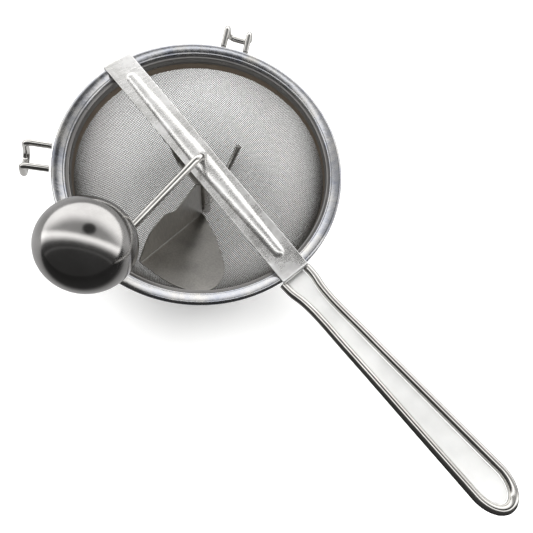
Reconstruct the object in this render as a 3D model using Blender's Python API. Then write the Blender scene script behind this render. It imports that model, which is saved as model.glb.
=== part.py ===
# Hand-cranked rotary sieve, a steel mesh bowl with a crank, a paddle and a scraper bar.
# Lengths are in metres and +Z is up. The origin is the centre of the bowl's flat bottom.
# The handle points along +X. The crank turns about the Z axis. The knob turns on its spindle.
import bpy
import bmesh
import math
from mathutils import Matrix, Vector

# Shared values
GAP = 0.0003
OVERRUN = 0.0050
BALL_STEPS = 30
WIRE_SIDES = 10
ARC_STEPS = 5

# Mesh bowl
BOWL_INNER_R = 0.0904
BOWL_DEPTH = 0.0850
BOWL_STRAIGHT = 0.0140
BOWL_FLAT_R = 0.0350
MESH_WALL = 0.0008

# Openings that stand for the weave: how many around and up the wall, and their share of the pitch
OPENINGS_AROUND = 20
OPENING_STEPS = 2
OPENING_ROWS = 4
OPENING_SHARE = 0.75
MIDDLE_DISC_R = 0.0140
FOOT_RING_WIDTH = 0.0040
ROUND_STEPS = OPENINGS_AROUND * (OPENING_STEPS + 1)

# Rim ring
RIM_WIDTH = 0.0096
RIM_SHEET = 0.0008
ROLL_R = 0.0022
ROLL_START_DEG = -150.0
ROLL_STEPS = 5
FLANGE_CROWN = 0.0006
FLANGE_FALL = 0.0027
FLANGE_STEPS = 3
INNER_TURN_R = 0.0012
COLLAR_DEPTH = 0.0120

# Clamp band inside the mesh edge
BAND_SHEET = 0.0007
BAND_DROP = 0.0018
BAND_HEIGHT = 0.0112

# Bridge bar
BRIDGE_WIDTH = 0.0220
BRIDGE_SHEET = 0.0012
BRIDGE_BEND_R = 0.0016
TAB_DROP_FAR = 0.0056
TAB_DROP_NEAR = 0.0028
RIB_HEIGHT = 0.0030
RIB_MID_WIDTH = 0.0140
RIB_END_WIDTH = 0.0087
RIB_END_INSET = 0.0140
RIB_STEPS = 14
RIB_END_STEPS = 3
SHAFT_HOLE_CLEARANCE = 0.0005

# Bearing bracket under the bridge
BRACKET_SHEET = 0.0015
BRACKET_FLANGE_START = 0.0360
BRACKET_FLANGE_END = 0.0240
BRACKET_LEG_END = 0.0164
BRACKET_REACH = 0.0080
BRACKET_DROP = 0.0120
BRACKET_CORNER_R = 0.0060

# Crank rod
SHAFT_R = 0.0025
ARM_HEIGHT = 0.0175
ARM_LENGTH = 0.0960
ARM_AZIMUTH_DEG = -77.0
ARM_BEND_R = 0.0080
SPINDLE_BEND_R = 0.0037
SHAFT_FOOT_DROP = 0.0760

# Bushing, washer, collar and pins
BUSHING_WALL = 0.0012
BUSHING_FLANGE_R = 0.0056
BUSHING_FLANGE_T = 0.0008
BUSHING_STAND = 0.0005
WASHER_T = 0.0008
WASHER_R = 0.0060
COLLAR_R = 0.0050
COLLAR_HEIGHT = 0.0060
COLLAR_PIN_R = 0.0008
HUB_R = 0.0046
HUB_BOTTOM_DROP = 0.0826
HUB_END_R = 0.0018
HUB_PIN_R = 0.0010
HUB_PIN_DROP = 0.0680
PIN_AZIMUTH_DEG = 15.0

# Knob
BALL_R = 0.0267
BALL_WALL = 0.0010
BALL_HEIGHT = 0.0310
SLEEVE_WALL = 0.0010
SLEEVE_FLANGE_R = 0.0060
SLEEVE_FLANGE_T = 0.0007
SLEEVE_HEIGHT = 0.0370
RETAINER_T = 0.0010
RETAINER_R = 0.0052
SPINDLE_STAND = 0.0010

# Paddle blade, drops are measured down from the rim plane
BLADE_SHEET = 0.0010
WING_AZIMUTH_DEG = -73.0
FOLD_FOOT_DROP = 0.0800
FOLD_FOOT_RELIEF = 0.0040
FOLD_TIP_R = 0.0776
FOLD_TIP_DROP = 0.0280
WING_TOP_DROP = 0.0012
WING_TOP_OUTER_R = 0.0560
WING_TOP_INNER_R = 0.0490
WING_STEP_R = 0.0350
WING_LOW_DROP = 0.0155
WING_CORNER_DROP = 0.0390
WING_CORNER_R = 0.0730
WING_CORNER_AZIMUTH_DEG = -27.0
WING_TRAIL_R = 0.0100
WING_TRAIL_AZIMUTH_DEG = -38.0
WING_TIP_SHARES = ((0.955, 0.17), (0.81, 0.34), (0.53, 0.66), (0.255, 0.895), (0.0, 1.0))
WING_STEP_SHARES = ((0.18, 0.05), (0.357, 0.20), (0.52, 0.41), (0.68, 0.63), (0.84, 0.85), (1.0, 1.0))
TROWEL_SHARES = (
    (0.174, 0.874), (0.391, 0.916), (0.50, 0.934), (0.60, 0.945), (0.739, 0.948), (0.82, 0.934),
    (0.885, 0.905), (0.946, 0.860), (1.000, 0.806), (1.048, 0.740), (1.076, 0.680), (1.098, 0.382),
)

# Scraper bar
SCRAPER_R = 0.0025
SCRAPER_CLEARANCE = 0.0025
SCRAPER_TIP_R = 0.0612
SCRAPER_FLAT_R = 0.0210
SCRAPER_AZIMUTH_DEG = 113.5
SCRAPER_STEPS = 7

# Handle
HANDLE_WIRE_R = 0.0029
HANDLE_LENGTH = 0.1918
HANDLE_HALF_WIDTH = 0.0112
HANDLE_TIP_LENGTH = 0.0165
HANDLE_DROP = 0.0029
HANDLE_RISE_DEG = 10.6
HANDLE_STEPS = 24
HANDLE_TIP_STEPS = 8
HANDLE_SHARES = (
    (0.00, 0.93), (0.05, 0.905), (0.105, 0.755), (0.16, 0.69), (0.21, 0.685), (0.32, 0.732),
    (0.47, 0.78), (0.61, 0.838), (0.745, 0.893), (0.86, 0.94), (1.00, 1.00),
)
PANEL_SHEET = 0.0008
PANEL_SINK = 0.0010
PANEL_ROOT_HALF_WIDTH = 0.0080
PANEL_WELD_HEIGHT = 0.0060

# Rest hooks
HOOK_WIRE_R = 0.0022
HOOK_AZIMUTH_DEG = 129.0
HOOK_HALF_WIDTH = 0.0085
HOOK_LENGTH = 0.0162
HOOK_RISE = 0.0036
HOOK_OUTWARD = 0.0046
HOOK_DROP = 0.0165
HOOK_BEND_R = 0.0036
HOOK_CORNER_R = 0.0060

# Places worked out from the sizes above
RIM_Z = BOWL_DEPTH + MESH_WALL
RIM_R = BOWL_INNER_R + RIM_WIDTH
BOWL_OUTER_R = BOWL_INNER_R + MESH_WALL
COLLAR_INNER_R = BOWL_OUTER_R + GAP
COLLAR_MID_R = COLLAR_INNER_R + RIM_SHEET / 2
COLLAR_OUTER_R = COLLAR_INNER_R + RIM_SHEET
BORE_R = SHAFT_R + GAP
ARM_Z = RIM_Z + ARM_HEIGHT
SHAFT_FOOT_Z = RIM_Z - SHAFT_FOOT_DROP


def clear_scene():
    for item in list(bpy.data.objects):
        bpy.data.objects.remove(item, do_unlink=True)


def steel(name, colour, roughness, metallic=1.0):
    material = bpy.data.materials.new(name)
    material.use_nodes = True
    shader = material.node_tree.nodes["Principled BSDF"]
    shader.inputs["Base Color"].default_value = (*colour, 1.0)
    shader.inputs["Roughness"].default_value = roughness
    shader.inputs["Metallic"].default_value = metallic
    material.diffuse_color = (*colour, 1.0)
    return material


def finish(name, bm, material, parent=None):
    """Turns a bmesh into a named object with outward faces."""
    bmesh.ops.recalc_face_normals(bm, faces=bm.faces)
    mesh = bpy.data.meshes.new(name)
    bm.to_mesh(mesh)
    bm.free()
    mesh.materials.append(material)
    item = bpy.data.objects.new(name, mesh)
    bpy.context.scene.collection.objects.link(item)
    if parent:
        item.parent = parent
    return item


def cut(item, cutter_name, bm, parent=None):
    """Takes a hidden cutter away from an object with an exact Boolean."""
    bmesh.ops.recalc_face_normals(bm, faces=bm.faces)
    mesh = bpy.data.meshes.new(cutter_name)
    bm.to_mesh(mesh)
    bm.free()
    cutter = bpy.data.objects.new(cutter_name, mesh)
    bpy.context.scene.collection.objects.link(cutter)
    cutter.parent = parent
    cutter.hide_render = True
    cutter.display_type = "WIRE"
    step = item.modifiers.new(cutter_name, "BOOLEAN")
    step.operation = "DIFFERENCE"
    step.solver = "EXACT"
    step.object = cutter


def drill(radius, start, end, sides=24):
    """A bmesh cylinder from one point to another."""
    bm = bmesh.new()
    axis = Vector(end) - Vector(start)
    bmesh.ops.create_cone(
        bm, cap_ends=True, segments=sides, radius1=radius, radius2=radius, depth=axis.length)
    turn = Vector((0, 0, 1)).rotation_difference(axis).to_matrix().to_4x4()
    place = Matrix.Translation((Vector(start) + Vector(end)) / 2)
    bmesh.ops.transform(bm, matrix=place @ turn, verts=bm.verts)
    return bm


def spin(profile, steps, closed=True):
    """Spins a profile of (radius, height) points about Z."""
    bm = bmesh.new()
    points = [bm.verts.new((radius, 0, height)) for radius, height in profile]
    edges = [bm.edges.new(pair) for pair in zip(points, points[1:])]
    if closed:
        edges.append(bm.edges.new((points[-1], points[0])))
    bmesh.ops.spin(
        bm, geom=points + edges, cent=(0, 0, 0), axis=(0, 0, 1), angle=math.tau, steps=steps,
        use_merge=True)
    bmesh.ops.remove_doubles(bm, verts=bm.verts, dist=GAP / 30)
    return bm


def both_sides(path, thickness):
    """Offsets a line of 2D points to both sides and keeps the sheet's thickness in its corners."""
    left = []
    right = []
    for number, point in enumerate(path):
        here = Vector(point)
        before = Vector(path[max(number - 1, 0)])
        after = Vector(path[min(number + 1, len(path) - 1)])
        first = (here - before) if number else (after - here)
        second = (after - here) if number < len(path) - 1 else first
        first.normalize()
        second.normalize()
        normal = Vector((-first.y - second.y, first.x + second.x)).normalized()
        reach = thickness / 2 / normal.dot(Vector((-first.y, first.x)))
        left.append(here + normal * reach)
        right.append(here - normal * reach)
    return left, right


def sheet_section(path, thickness):
    left, right = both_sides(path, thickness)
    return [tuple(point) for point in left + right[::-1]]


def arc(centre, radius, start_deg, end_deg, steps):
    points = []
    for number in range(steps + 1):
        angle = math.radians(start_deg + (end_deg - start_deg) * number / steps)
        points.append((centre[0] + radius * math.cos(angle), centre[1] + radius * math.sin(angle)))
    return points


def round_corners(points, radii, steps=ARC_STEPS):
    """Rounds the inner corners of a 3D line, each with its own bend radius."""
    points = [Vector(point) for point in points]
    line = [points[0]]
    for number in range(1, len(points) - 1):
        corner = points[number]
        back = (points[number - 1] - corner).normalized()
        ahead = (points[number + 1] - corner).normalized()
        half = back.angle(ahead) / 2
        radius = radii[number - 1]
        reach = radius / math.tan(half)
        centre = corner + (back + ahead).normalized() * radius / math.sin(half)
        start = corner + back * reach - centre
        end = corner + ahead * reach - centre
        axis = start.cross(end).normalized()
        sweep = start.angle(end)
        for step in range(steps + 1):
            line.append(centre + Matrix.Rotation(sweep * step / steps, 3, axis) @ start)
    line.append(points[-1])
    return line


def tube(line, radius, sides=WIRE_SIDES):
    """Sweeps a round wire along a 3D line and closes both ends."""
    bm = bmesh.new()
    line = [Vector(point) for point in line]
    rings = []
    tangent = (line[1] - line[0]).normalized()
    side = tangent.orthogonal().normalized()
    for number, point in enumerate(line):
        before = line[max(number - 1, 0)]
        after = line[min(number + 1, len(line) - 1)]
        first = (point - before).normalized() if number else (after - point).normalized()
        second = (after - point).normalized() if number < len(line) - 1 else first
        bisector = (first + second).normalized()
        side = tangent.rotation_difference(bisector) @ side
        tangent = bisector
        lift = tangent.cross(side)
        ring = []
        for step in range(sides):
            angle = math.tau * step / sides
            ring.append(bm.verts.new(point + (side * math.cos(angle) + lift * math.sin(angle)) * radius))
        rings.append(ring)
    for ring, following in zip(rings, rings[1:]):
        for step in range(sides):
            other = (step + 1) % sides
            bm.faces.new((ring[step], ring[other], following[other], following[step]))
    bm.faces.new(rings[0][::-1])
    bm.faces.new(rings[-1])
    return bm


def loft(rings):
    """Joins closed rings of 3D points and caps both ends."""
    bm = bmesh.new()
    rows = [[bm.verts.new(point) for point in ring] for ring in rings]
    count = len(rows[0])
    for row, following in zip(rows, rows[1:]):
        for step in range(count):
            other = (step + 1) % count
            bm.faces.new((row[step], row[other], following[other], following[step]))
    bm.faces.new(rows[0][::-1])
    bm.faces.new(rows[-1])
    return bm


def read_table(shares, place):
    """Reads a table of shares with straight steps between its rows."""
    for (start, low), (end, high) in zip(shares, shares[1:]):
        if place <= end:
            part = (place - start) / (end - start)
            return low + (high - low) * part
    return shares[-1][1]


def polar(radius, azimuth_deg, height):
    angle = math.radians(azimuth_deg)
    return Vector((radius * math.cos(angle), radius * math.sin(angle), height))


def bowl_point(angle_deg, inset):
    """A point on the bowl's quarter ellipse: 0 degrees at its wall, 90 at its flat bottom."""
    wide = BOWL_INNER_R - inset - BOWL_FLAT_R
    deep = BOWL_DEPTH - inset - BOWL_STRAIGHT
    angle = math.radians(angle_deg)
    return BOWL_FLAT_R + wide * math.cos(angle), RIM_Z - BOWL_STRAIGHT - deep * math.sin(angle)


def bowl_rows():
    """Rows from the bottom's middle to the wall's top, and whether openings follow each of them."""
    floor_z = RIM_Z - BOWL_DEPTH
    rows = [((radius, floor_z), (radius, floor_z - MESH_WALL)) for radius in (
        MIDDLE_DISC_R, BOWL_FLAT_R - FOOT_RING_WIDTH)]
    opened = [True, False]
    pitch = 90.0 / OPENING_ROWS
    margin = pitch * (1 - OPENING_SHARE) / 2
    angles = [90.0]
    opened.append(False)
    for number in range(OPENING_ROWS):
        angles += [90.0 - pitch * number - margin, 90.0 - pitch * (number + 1) + margin]
        opened += [True, False]
    angles.append(0.0)
    opened.append(False)
    rows += [(bowl_point(angle, 0), bowl_point(angle, -MESH_WALL)) for angle in angles]
    top_z = RIM_Z - BAND_DROP - BAND_SHEET - GAP
    rows.append(((BOWL_INNER_R, top_z), (BOWL_OUTER_R, top_z)))
    return rows, opened


def band_line():
    """The clamp band's lip over the mesh edge and its wall inside the mesh."""
    lip_z = RIM_Z - BAND_DROP - BAND_SHEET / 2
    wall_r = BOWL_INNER_R - GAP - BAND_SHEET / 2
    return [(BOWL_OUTER_R, lip_z), (wall_r, lip_z), (wall_r, RIM_Z - BAND_DROP - BAND_HEIGHT)]


def rim_line():
    """The rim's middle line, from the hidden end of the roll, over the flange and down the collar."""
    roll_mid_r = ROLL_R - RIM_SHEET / 2
    points = arc((RIM_R - ROLL_R, RIM_Z), roll_mid_r, ROLL_START_DEG, 90.0, ROLL_STEPS)
    start_r, start_z = points[-1]
    end_r = COLLAR_MID_R + INNER_TURN_R
    for number in range(1, FLANGE_STEPS):
        part = number / FLANGE_STEPS
        radius = start_r + (end_r - start_r) * part
        height = start_z - FLANGE_FALL * part + FLANGE_CROWN * 4 * part * (1 - part)
        points.append((radius, height))
    turn_z = start_z - FLANGE_FALL - INNER_TURN_R
    points += arc((end_r, turn_z), INNER_TURN_R, 90.0, 180.0, 3)
    points.append((COLLAR_MID_R, RIM_Z - COLLAR_DEPTH))
    return points


RIM_TOP_Z = max(point[1] for point in sheet_section(rim_line(), RIM_SHEET))
BRIDGE_UNDER_Z = RIM_TOP_Z + GAP
BRIDGE_TOP_Z = BRIDGE_UNDER_Z + BRIDGE_SHEET
BRACKET_TOP_Z = RIM_Z - BRACKET_DROP + BRACKET_SHEET
BRACKET_UNDER_Z = BRACKET_TOP_Z - BRACKET_SHEET
BUSHING_R = BORE_R + BUSHING_WALL
HUB_TOP_Z = BRACKET_UNDER_Z - GAP - BUSHING_FLANGE_T - GAP
BUSHING_TOP_Z = BRACKET_TOP_Z + BUSHING_STAND
WASHER_Z = BUSHING_TOP_Z + GAP
COLLAR_Z = WASHER_Z + WASHER_T + GAP
BALL_Z = ARM_Z + BALL_HEIGHT


def make_rim(material):
    finish("rim_ring", spin(sheet_section(rim_line(), RIM_SHEET), ROUND_STEPS), material)


def make_bowl(material):
    """The bowl as one thin wall with a grid of openings, each walled round from face to face."""
    rows, opened = bowl_rows()
    sector = 360.0 / OPENINGS_AROUND
    turns = []
    for number in range(OPENINGS_AROUND):
        for step in range(OPENING_STEPS + 1):
            turns.append(sector * (number + OPENING_SHARE * step / OPENING_STEPS))
    bm = bmesh.new()
    inner, outer = ([[bm.verts.new(polar(radius, turn, height)) for turn in turns]
                     for radius, height in side] for side in zip(*rows))
    count = len(turns)
    for row, is_open in enumerate(opened):
        for column in range(count):
            other = (column + 1) % count
            step = column % (OPENING_STEPS + 1)
            if not is_open or step == OPENING_STEPS:
                for wall in (inner, outer):
                    bm.faces.new((wall[row][column], wall[row][other], wall[row + 1][other], wall[row + 1][column]))
                continue
            edges = [((row, column), (row, other)), ((row + 1, column), (row + 1, other))]
            if step == 0:
                edges.append(((row, column), (row + 1, column)))
            if step == OPENING_STEPS - 1:
                edges.append(((row, other), (row + 1, other)))
            for (i, j), (k, m) in edges:
                bm.faces.new((inner[i][j], inner[k][m], outer[k][m], outer[i][j]))
    for wall, height in ((inner, RIM_Z - BOWL_DEPTH), (outer, RIM_Z - BOWL_DEPTH - MESH_WALL)):
        middle = bm.verts.new((0, 0, height))
        for column in range(count):
            bm.faces.new((wall[0][column], wall[0][(column + 1) % count], middle))
    for column in range(count):
        other = (column + 1) % count
        bm.faces.new((inner[-1][column], inner[-1][other], outer[-1][other], outer[-1][column]))
    finish("mesh_bowl", bm, material)


def make_band(material):
    finish("mesh_band", spin(sheet_section(band_line(), BAND_SHEET), ROUND_STEPS), material)


def bridge_half_widths():
    return BRIDGE_WIDTH / 2, RIB_MID_WIDTH / 2, RIB_END_WIDTH / 2


def rib_at(distance, rib_half_length):
    """The rib's half width and height at a distance from the shaft."""
    half, middle, end = bridge_half_widths()
    share = min(abs(distance) / rib_half_length, 1.0)
    width = middle + (end - middle) * share
    run = end
    past = max(abs(distance) - (rib_half_length - run), 0.0) / run
    fade = math.sqrt(max(1.0 - past * past, 0.0))
    return width * fade, RIB_HEIGHT * min(fade, 1.0)


def bridge_stations(rib_half_length):
    """Points along the bar's middle line: (distance from the shaft, height)."""
    face = RIM_R + GAP + BRIDGE_SHEET / 2
    mid_z = BRIDGE_UNDER_Z + BRIDGE_SHEET / 2
    centre_x = face - BRIDGE_BEND_R
    centre_z = mid_z - BRIDGE_BEND_R
    run = RIB_END_WIDTH / 2
    inner = rib_half_length - run
    flat = [-inner + 2 * inner * number / RIB_STEPS for number in range(RIB_STEPS + 1)]
    ends = [inner + run * math.sin(math.pi / 2 * n / RIB_END_STEPS) for n in range(1, RIB_END_STEPS + 1)]
    flat = [-x for x in ends[::-1]] + flat + ends
    stations = [(-face, BRIDGE_TOP_Z - TAB_DROP_FAR)]
    stations += arc((-centre_x, centre_z), BRIDGE_BEND_R, 180.0, 90.0, 3)
    stations += [(x, mid_z) for x in flat]
    stations += arc((centre_x, centre_z), BRIDGE_BEND_R, 90.0, 0.0, 3)
    stations.append((face, BRIDGE_TOP_Z - TAB_DROP_NEAR))
    return stations


def make_bridge(material):
    """A pressed sheet bar with its tapered rib and an end bent down at each side of the rim."""
    half, middle, end = bridge_half_widths()
    rib_half_length = RIM_R - RIB_END_INSET
    line = bridge_stations(rib_half_length)
    left, right = both_sides(line, BRIDGE_SHEET)
    across_shares = (-1.0, -0.92, -0.70, -0.38, 0.0, 0.38, 0.70, 0.92, 1.0)
    rings = []
    for upper, lower, (x, z) in zip(left, right, line):
        width, height = rib_at(x, rib_half_length) if abs(x) <= rib_half_length else (0.0, 0.0)
        width = max(width, GAP)
        rows = [(-half, 0.0)]
        rows += [(share * width, height * math.sqrt(1 - share * share)) for share in across_shares]
        rows += [(half, 0.0)]
        top = [(upper.x, y, upper.y + lift) for y, lift in rows]
        bottom = [(lower.x, y, lower.y + lift) for y, lift in rows]
        rings.append(top + bottom[::-1])
    bar = finish("bridge_bar", loft(rings), material)
    hole_r = SHAFT_R + SHAFT_HOLE_CLEARANCE
    low = BRIDGE_UNDER_Z - OVERRUN
    high = BRIDGE_TOP_Z + RIB_HEIGHT + OVERRUN
    cut(bar, "bridge_shaft_hole", drill(hole_r, (0, 0, low), (0, 0, high)))


def make_bracket(material):
    """A cranked strip whose tongue holds the lower bushing."""
    flange_z = BRIDGE_UNDER_Z - GAP - BRACKET_SHEET / 2
    tongue_z = BRACKET_TOP_Z - BRACKET_SHEET / 2
    line = [(-BRACKET_FLANGE_START, flange_z), (-BRACKET_FLANGE_END, flange_z), (-BRACKET_LEG_END, tongue_z)]
    half = BRIDGE_WIDTH / 2
    widths = [half, half, half]
    corner_x = BRACKET_REACH - BRACKET_CORNER_R
    for number in range(ARC_STEPS + 1):
        angle = math.pi / 2 * number / ARC_STEPS
        line.append((corner_x + BRACKET_CORNER_R * math.sin(angle), tongue_z))
        widths.append(half - BRACKET_CORNER_R + BRACKET_CORNER_R * math.cos(angle))
    left, right = both_sides(line, BRACKET_SHEET)
    rings = []
    for upper, lower, width in zip(left, right, widths):
        ring = [(upper.x, -width, upper.y), (upper.x, width, upper.y)]
        ring += [(lower.x, width, lower.y), (lower.x, -width, lower.y)]
        rings.append(ring)
    bracket = finish("bearing_bracket", loft(rings), material)
    low = BRACKET_UNDER_Z - OVERRUN
    high = BRACKET_TOP_Z + OVERRUN
    cut(bracket, "bushing_hole", drill(BUSHING_R + GAP, (0, 0, low), (0, 0, high)))


def make_bushing(material):
    flange_top = BRACKET_UNDER_Z - GAP
    flange_low = flange_top - BUSHING_FLANGE_T
    section = [(BORE_R, flange_low), (BUSHING_FLANGE_R, flange_low), (BUSHING_FLANGE_R, flange_top)]
    section += [(BUSHING_R, flange_top), (BUSHING_R, BUSHING_TOP_Z), (BORE_R, BUSHING_TOP_Z)]
    finish("lower_bushing", spin(section, 24), material)


def ring_section(inner_r, outer_r, low, high):
    return [(inner_r, low), (outer_r, low), (outer_r, high), (inner_r, high)]


def make_washer(material):
    section = ring_section(BORE_R, WASHER_R, WASHER_Z, WASHER_Z + WASHER_T)
    finish("thrust_washer", spin(section, 24), material)


def make_collar(material, pin_material, crank):
    section = ring_section(BORE_R, COLLAR_R, COLLAR_Z, COLLAR_Z + COLLAR_HEIGHT)
    collar = finish("retaining_collar", spin(section, 24), material, crank)
    middle = COLLAR_Z + COLLAR_HEIGHT / 2
    ends = pin_ends(COLLAR_R + OVERRUN, middle)
    cut(collar, "collar_cross_hole", drill(COLLAR_PIN_R + GAP, *ends), crank)
    finish("collar_pin", drill(COLLAR_PIN_R, *pin_ends(COLLAR_R, middle), sides=12), pin_material, crank)


def pin_ends(reach, height):
    return polar(reach, PIN_AZIMUTH_DEG + 180.0, height), polar(reach, PIN_AZIMUTH_DEG, height)


def make_crank_rod(material, crank):
    """One rod: the shaft, the bend over the bridge, the arm and the upright spindle."""
    spindle_top = sleeve_top() + GAP + RETAINER_T + SPINDLE_STAND
    corners = [(0, 0, SHAFT_FOOT_Z), (0, 0, ARM_Z)]
    corners.append(polar(ARM_LENGTH, ARM_AZIMUTH_DEG, ARM_Z))
    corners.append(polar(ARM_LENGTH, ARM_AZIMUTH_DEG, spindle_top))
    line = round_corners(corners, (ARM_BEND_R, SPINDLE_BEND_R))
    rod = finish("crank_rod", tube(line, SHAFT_R, 12), material, crank)
    middle = COLLAR_Z + COLLAR_HEIGHT / 2
    reach = SHAFT_R + OVERRUN
    cut(rod, "rod_collar_hole", drill(COLLAR_PIN_R + GAP, *pin_ends(reach, middle), sides=12), crank)
    hub_pin_z = RIM_Z - HUB_PIN_DROP
    cut(rod, "rod_hub_hole", drill(HUB_PIN_R + GAP, *pin_ends(reach, hub_pin_z), sides=12), crank)


def make_hub(material, pin_material, crank):
    """The tube that carries the paddle and the scraper bar, closed and rounded at its foot."""
    floor_z = RIM_Z - HUB_BOTTOM_DROP
    inner_z = SHAFT_FOOT_Z - GAP
    section = [(0, inner_z), (BORE_R, inner_z), (BORE_R, HUB_TOP_Z), (HUB_R, HUB_TOP_Z)]
    foot = arc((HUB_R - HUB_END_R, floor_z + HUB_END_R), HUB_END_R, 0.0, -90.0, 3)
    section += foot + [(0, floor_z)]
    hub = finish("paddle_hub", spin(section, 24, closed=False), material, crank)
    pin_z = RIM_Z - HUB_PIN_DROP
    cut(hub, "hub_cross_hole", drill(HUB_PIN_R + GAP, *pin_ends(HUB_R + OVERRUN, pin_z), sides=12), crank)
    finish("hub_pin", drill(HUB_PIN_R, *pin_ends(HUB_R, pin_z), sides=12), pin_material, crank)


def wing_points():
    """The upright wing's outline as (radius, drop) pairs from the fold's foot round to the root."""
    root_r = HUB_R + GAP + BLADE_SHEET
    tip_run = FOLD_TIP_R - WING_TOP_OUTER_R
    rise = FOLD_TIP_DROP - WING_TOP_DROP
    points = [(root_r, FOLD_FOOT_DROP), (FOLD_TIP_R, FOLD_TIP_DROP)]
    for along, up in WING_TIP_SHARES:
        points.append((WING_TOP_OUTER_R + tip_run * along, FOLD_TIP_DROP - rise * up))
    points.append((WING_TOP_INNER_R, WING_TOP_DROP))
    step_run = WING_TOP_INNER_R - WING_STEP_R
    fall = WING_LOW_DROP - WING_TOP_DROP
    for along, down in WING_STEP_SHARES:
        points.append((WING_TOP_INNER_R - step_run * along, WING_TOP_DROP + fall * down))
    points.append((HUB_R + GAP, WING_LOW_DROP))
    points.append((HUB_R + GAP, FOLD_FOOT_DROP - FOLD_FOOT_RELIEF))
    return points


def trowel_points():
    """The lower wing's outline in 3D, on the plane through the fold and its named corner."""
    foot = polar(HUB_R + GAP + BLADE_SHEET, WING_AZIMUTH_DEG, RIM_Z - FOLD_FOOT_DROP)
    tip = polar(FOLD_TIP_R, WING_AZIMUTH_DEG, RIM_Z - FOLD_TIP_DROP)
    corner = polar(WING_CORNER_R, WING_CORNER_AZIMUTH_DEG, RIM_Z - WING_CORNER_DROP)
    normal = (tip - foot).cross(corner - foot).normalized()

    def on_plane(radius, azimuth_deg):
        flat = polar(radius, azimuth_deg, 0)
        height = foot.z - (normal.x * (flat.x - foot.x) + normal.y * (flat.y - foot.y)) / normal.z
        return Vector((flat.x, flat.y, height))

    sweep = WING_CORNER_AZIMUTH_DEG - WING_AZIMUTH_DEG
    points = [foot, tip]
    for turn, reach in TROWEL_SHARES:
        points.append(on_plane(BOWL_INNER_R * reach, WING_AZIMUTH_DEG + sweep * turn))
    points.append(on_plane(WING_TRAIL_R, WING_TRAIL_AZIMUTH_DEG))
    return points


def make_blade(material, crank):
    """One folded sheet: an upright wing and a lower trowel that share the fold."""
    bm = bmesh.new()
    upright = [polar(radius, WING_AZIMUTH_DEG, RIM_Z - drop) for radius, drop in wing_points()]
    lower = trowel_points()
    fold = [bm.verts.new(upright[0]), bm.verts.new(upright[1])]
    bm.faces.new(fold + [bm.verts.new(point) for point in upright[2:]])
    bm.faces.new((fold + [bm.verts.new(point) for point in lower[2:]])[::-1])
    blade = finish("paddle_blade", bm, material, crank)
    sheet = blade.modifiers.new("sheet", "SOLIDIFY")
    sheet.thickness = BLADE_SHEET
    sheet.offset = 0.0
    sheet.use_even_offset = True
    sheet.use_quality_normals = True


def make_scraper(material, crank):
    """A round bar that follows the bowl's curve from the hub to its tip."""
    inset = SCRAPER_CLEARANCE + SCRAPER_R
    wide = BOWL_INNER_R - inset - SCRAPER_FLAT_R
    deep = BOWL_DEPTH - inset - BOWL_STRAIGHT
    tip_angle = math.acos((SCRAPER_TIP_R - SCRAPER_FLAT_R) / wide)
    low_z = RIM_Z - BOWL_STRAIGHT - deep
    line = [polar(HUB_R + GAP, SCRAPER_AZIMUTH_DEG, low_z)]
    for number in range(SCRAPER_STEPS + 1):
        angle = math.pi / 2 + (tip_angle - math.pi / 2) * number / SCRAPER_STEPS
        radius = SCRAPER_FLAT_R + wide * math.cos(angle)
        line.append(polar(radius, SCRAPER_AZIMUTH_DEG, RIM_Z - BOWL_STRAIGHT - deep * math.sin(angle)))
    finish("scraper_bar", tube(line, SCRAPER_R), material, crank)


def sleeve_low():
    """The sleeve flange's underside, just above the washer on the spindle's bend."""
    return ARM_Z + SPINDLE_BEND_R + GAP + WASHER_T + GAP


def sleeve_top():
    return sleeve_low() + SLEEVE_HEIGHT


def make_knob(ball_material, sleeve_material, washer_material, crank, knob):
    low = sleeve_low()
    top = sleeve_top()
    outer_r = BORE_R + SLEEVE_WALL
    mouth_r = SLEEVE_FLANGE_R + GAP
    section = [(BORE_R, low), (SLEEVE_FLANGE_R, low), (SLEEVE_FLANGE_R, low + SLEEVE_FLANGE_T)]
    section += [(outer_r, low + SLEEVE_FLANGE_T), (outer_r, top), (BORE_R, top)]
    finish("knob_sleeve", spin(shift(section, -BALL_Z), 24), sleeve_material, knob)
    inner_ball = BALL_R - BALL_WALL
    start = math.degrees(math.asin(mouth_r / BALL_R)) - 90.0
    inner_start = math.degrees(math.asin(mouth_r / inner_ball)) - 90.0
    steps = BALL_STEPS // 2
    outside = arc((0, 0), BALL_R, start, 90.0, steps)
    inside = arc((0, 0), inner_ball, inner_start, 90.0, steps)
    outside[-1] = (0, BALL_R)
    inside[-1] = (0, inner_ball)
    bm = spin(inside[::-1] + outside, BALL_STEPS, closed=False)
    finish("knob_ball", bm, ball_material, knob)
    washer_low = ARM_Z + SPINDLE_BEND_R + GAP
    spindle_parts = (
        ("knob_washer", ring_section(BORE_R, SLEEVE_FLANGE_R, washer_low, washer_low + WASHER_T)),
        ("knob_retainer", ring_section(BORE_R, RETAINER_R, top + GAP, top + GAP + RETAINER_T)),
    )
    for name, section in spindle_parts:
        part = finish(name, spin(section, 24), washer_material, crank)
        part.location = polar(ARM_LENGTH, ARM_AZIMUTH_DEG, 0)


def shift(section, lift):
    return [(radius, height + lift) for radius, height in section]


def handle_half_width(share):
    return HANDLE_HALF_WIDTH * read_table(HANDLE_SHARES, share)


def handle_point(distance, side, lift):
    """A point of the handle's raised plane: distance out from the rim, side and lift off the plane."""
    rise = math.radians(HANDLE_RISE_DEG)
    x = RIM_R + distance * math.cos(rise) - lift * math.sin(rise)
    z = RIM_Z - HANDLE_DROP + distance * math.sin(rise) + lift * math.cos(rise)
    return Vector((x, side, z))


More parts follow.
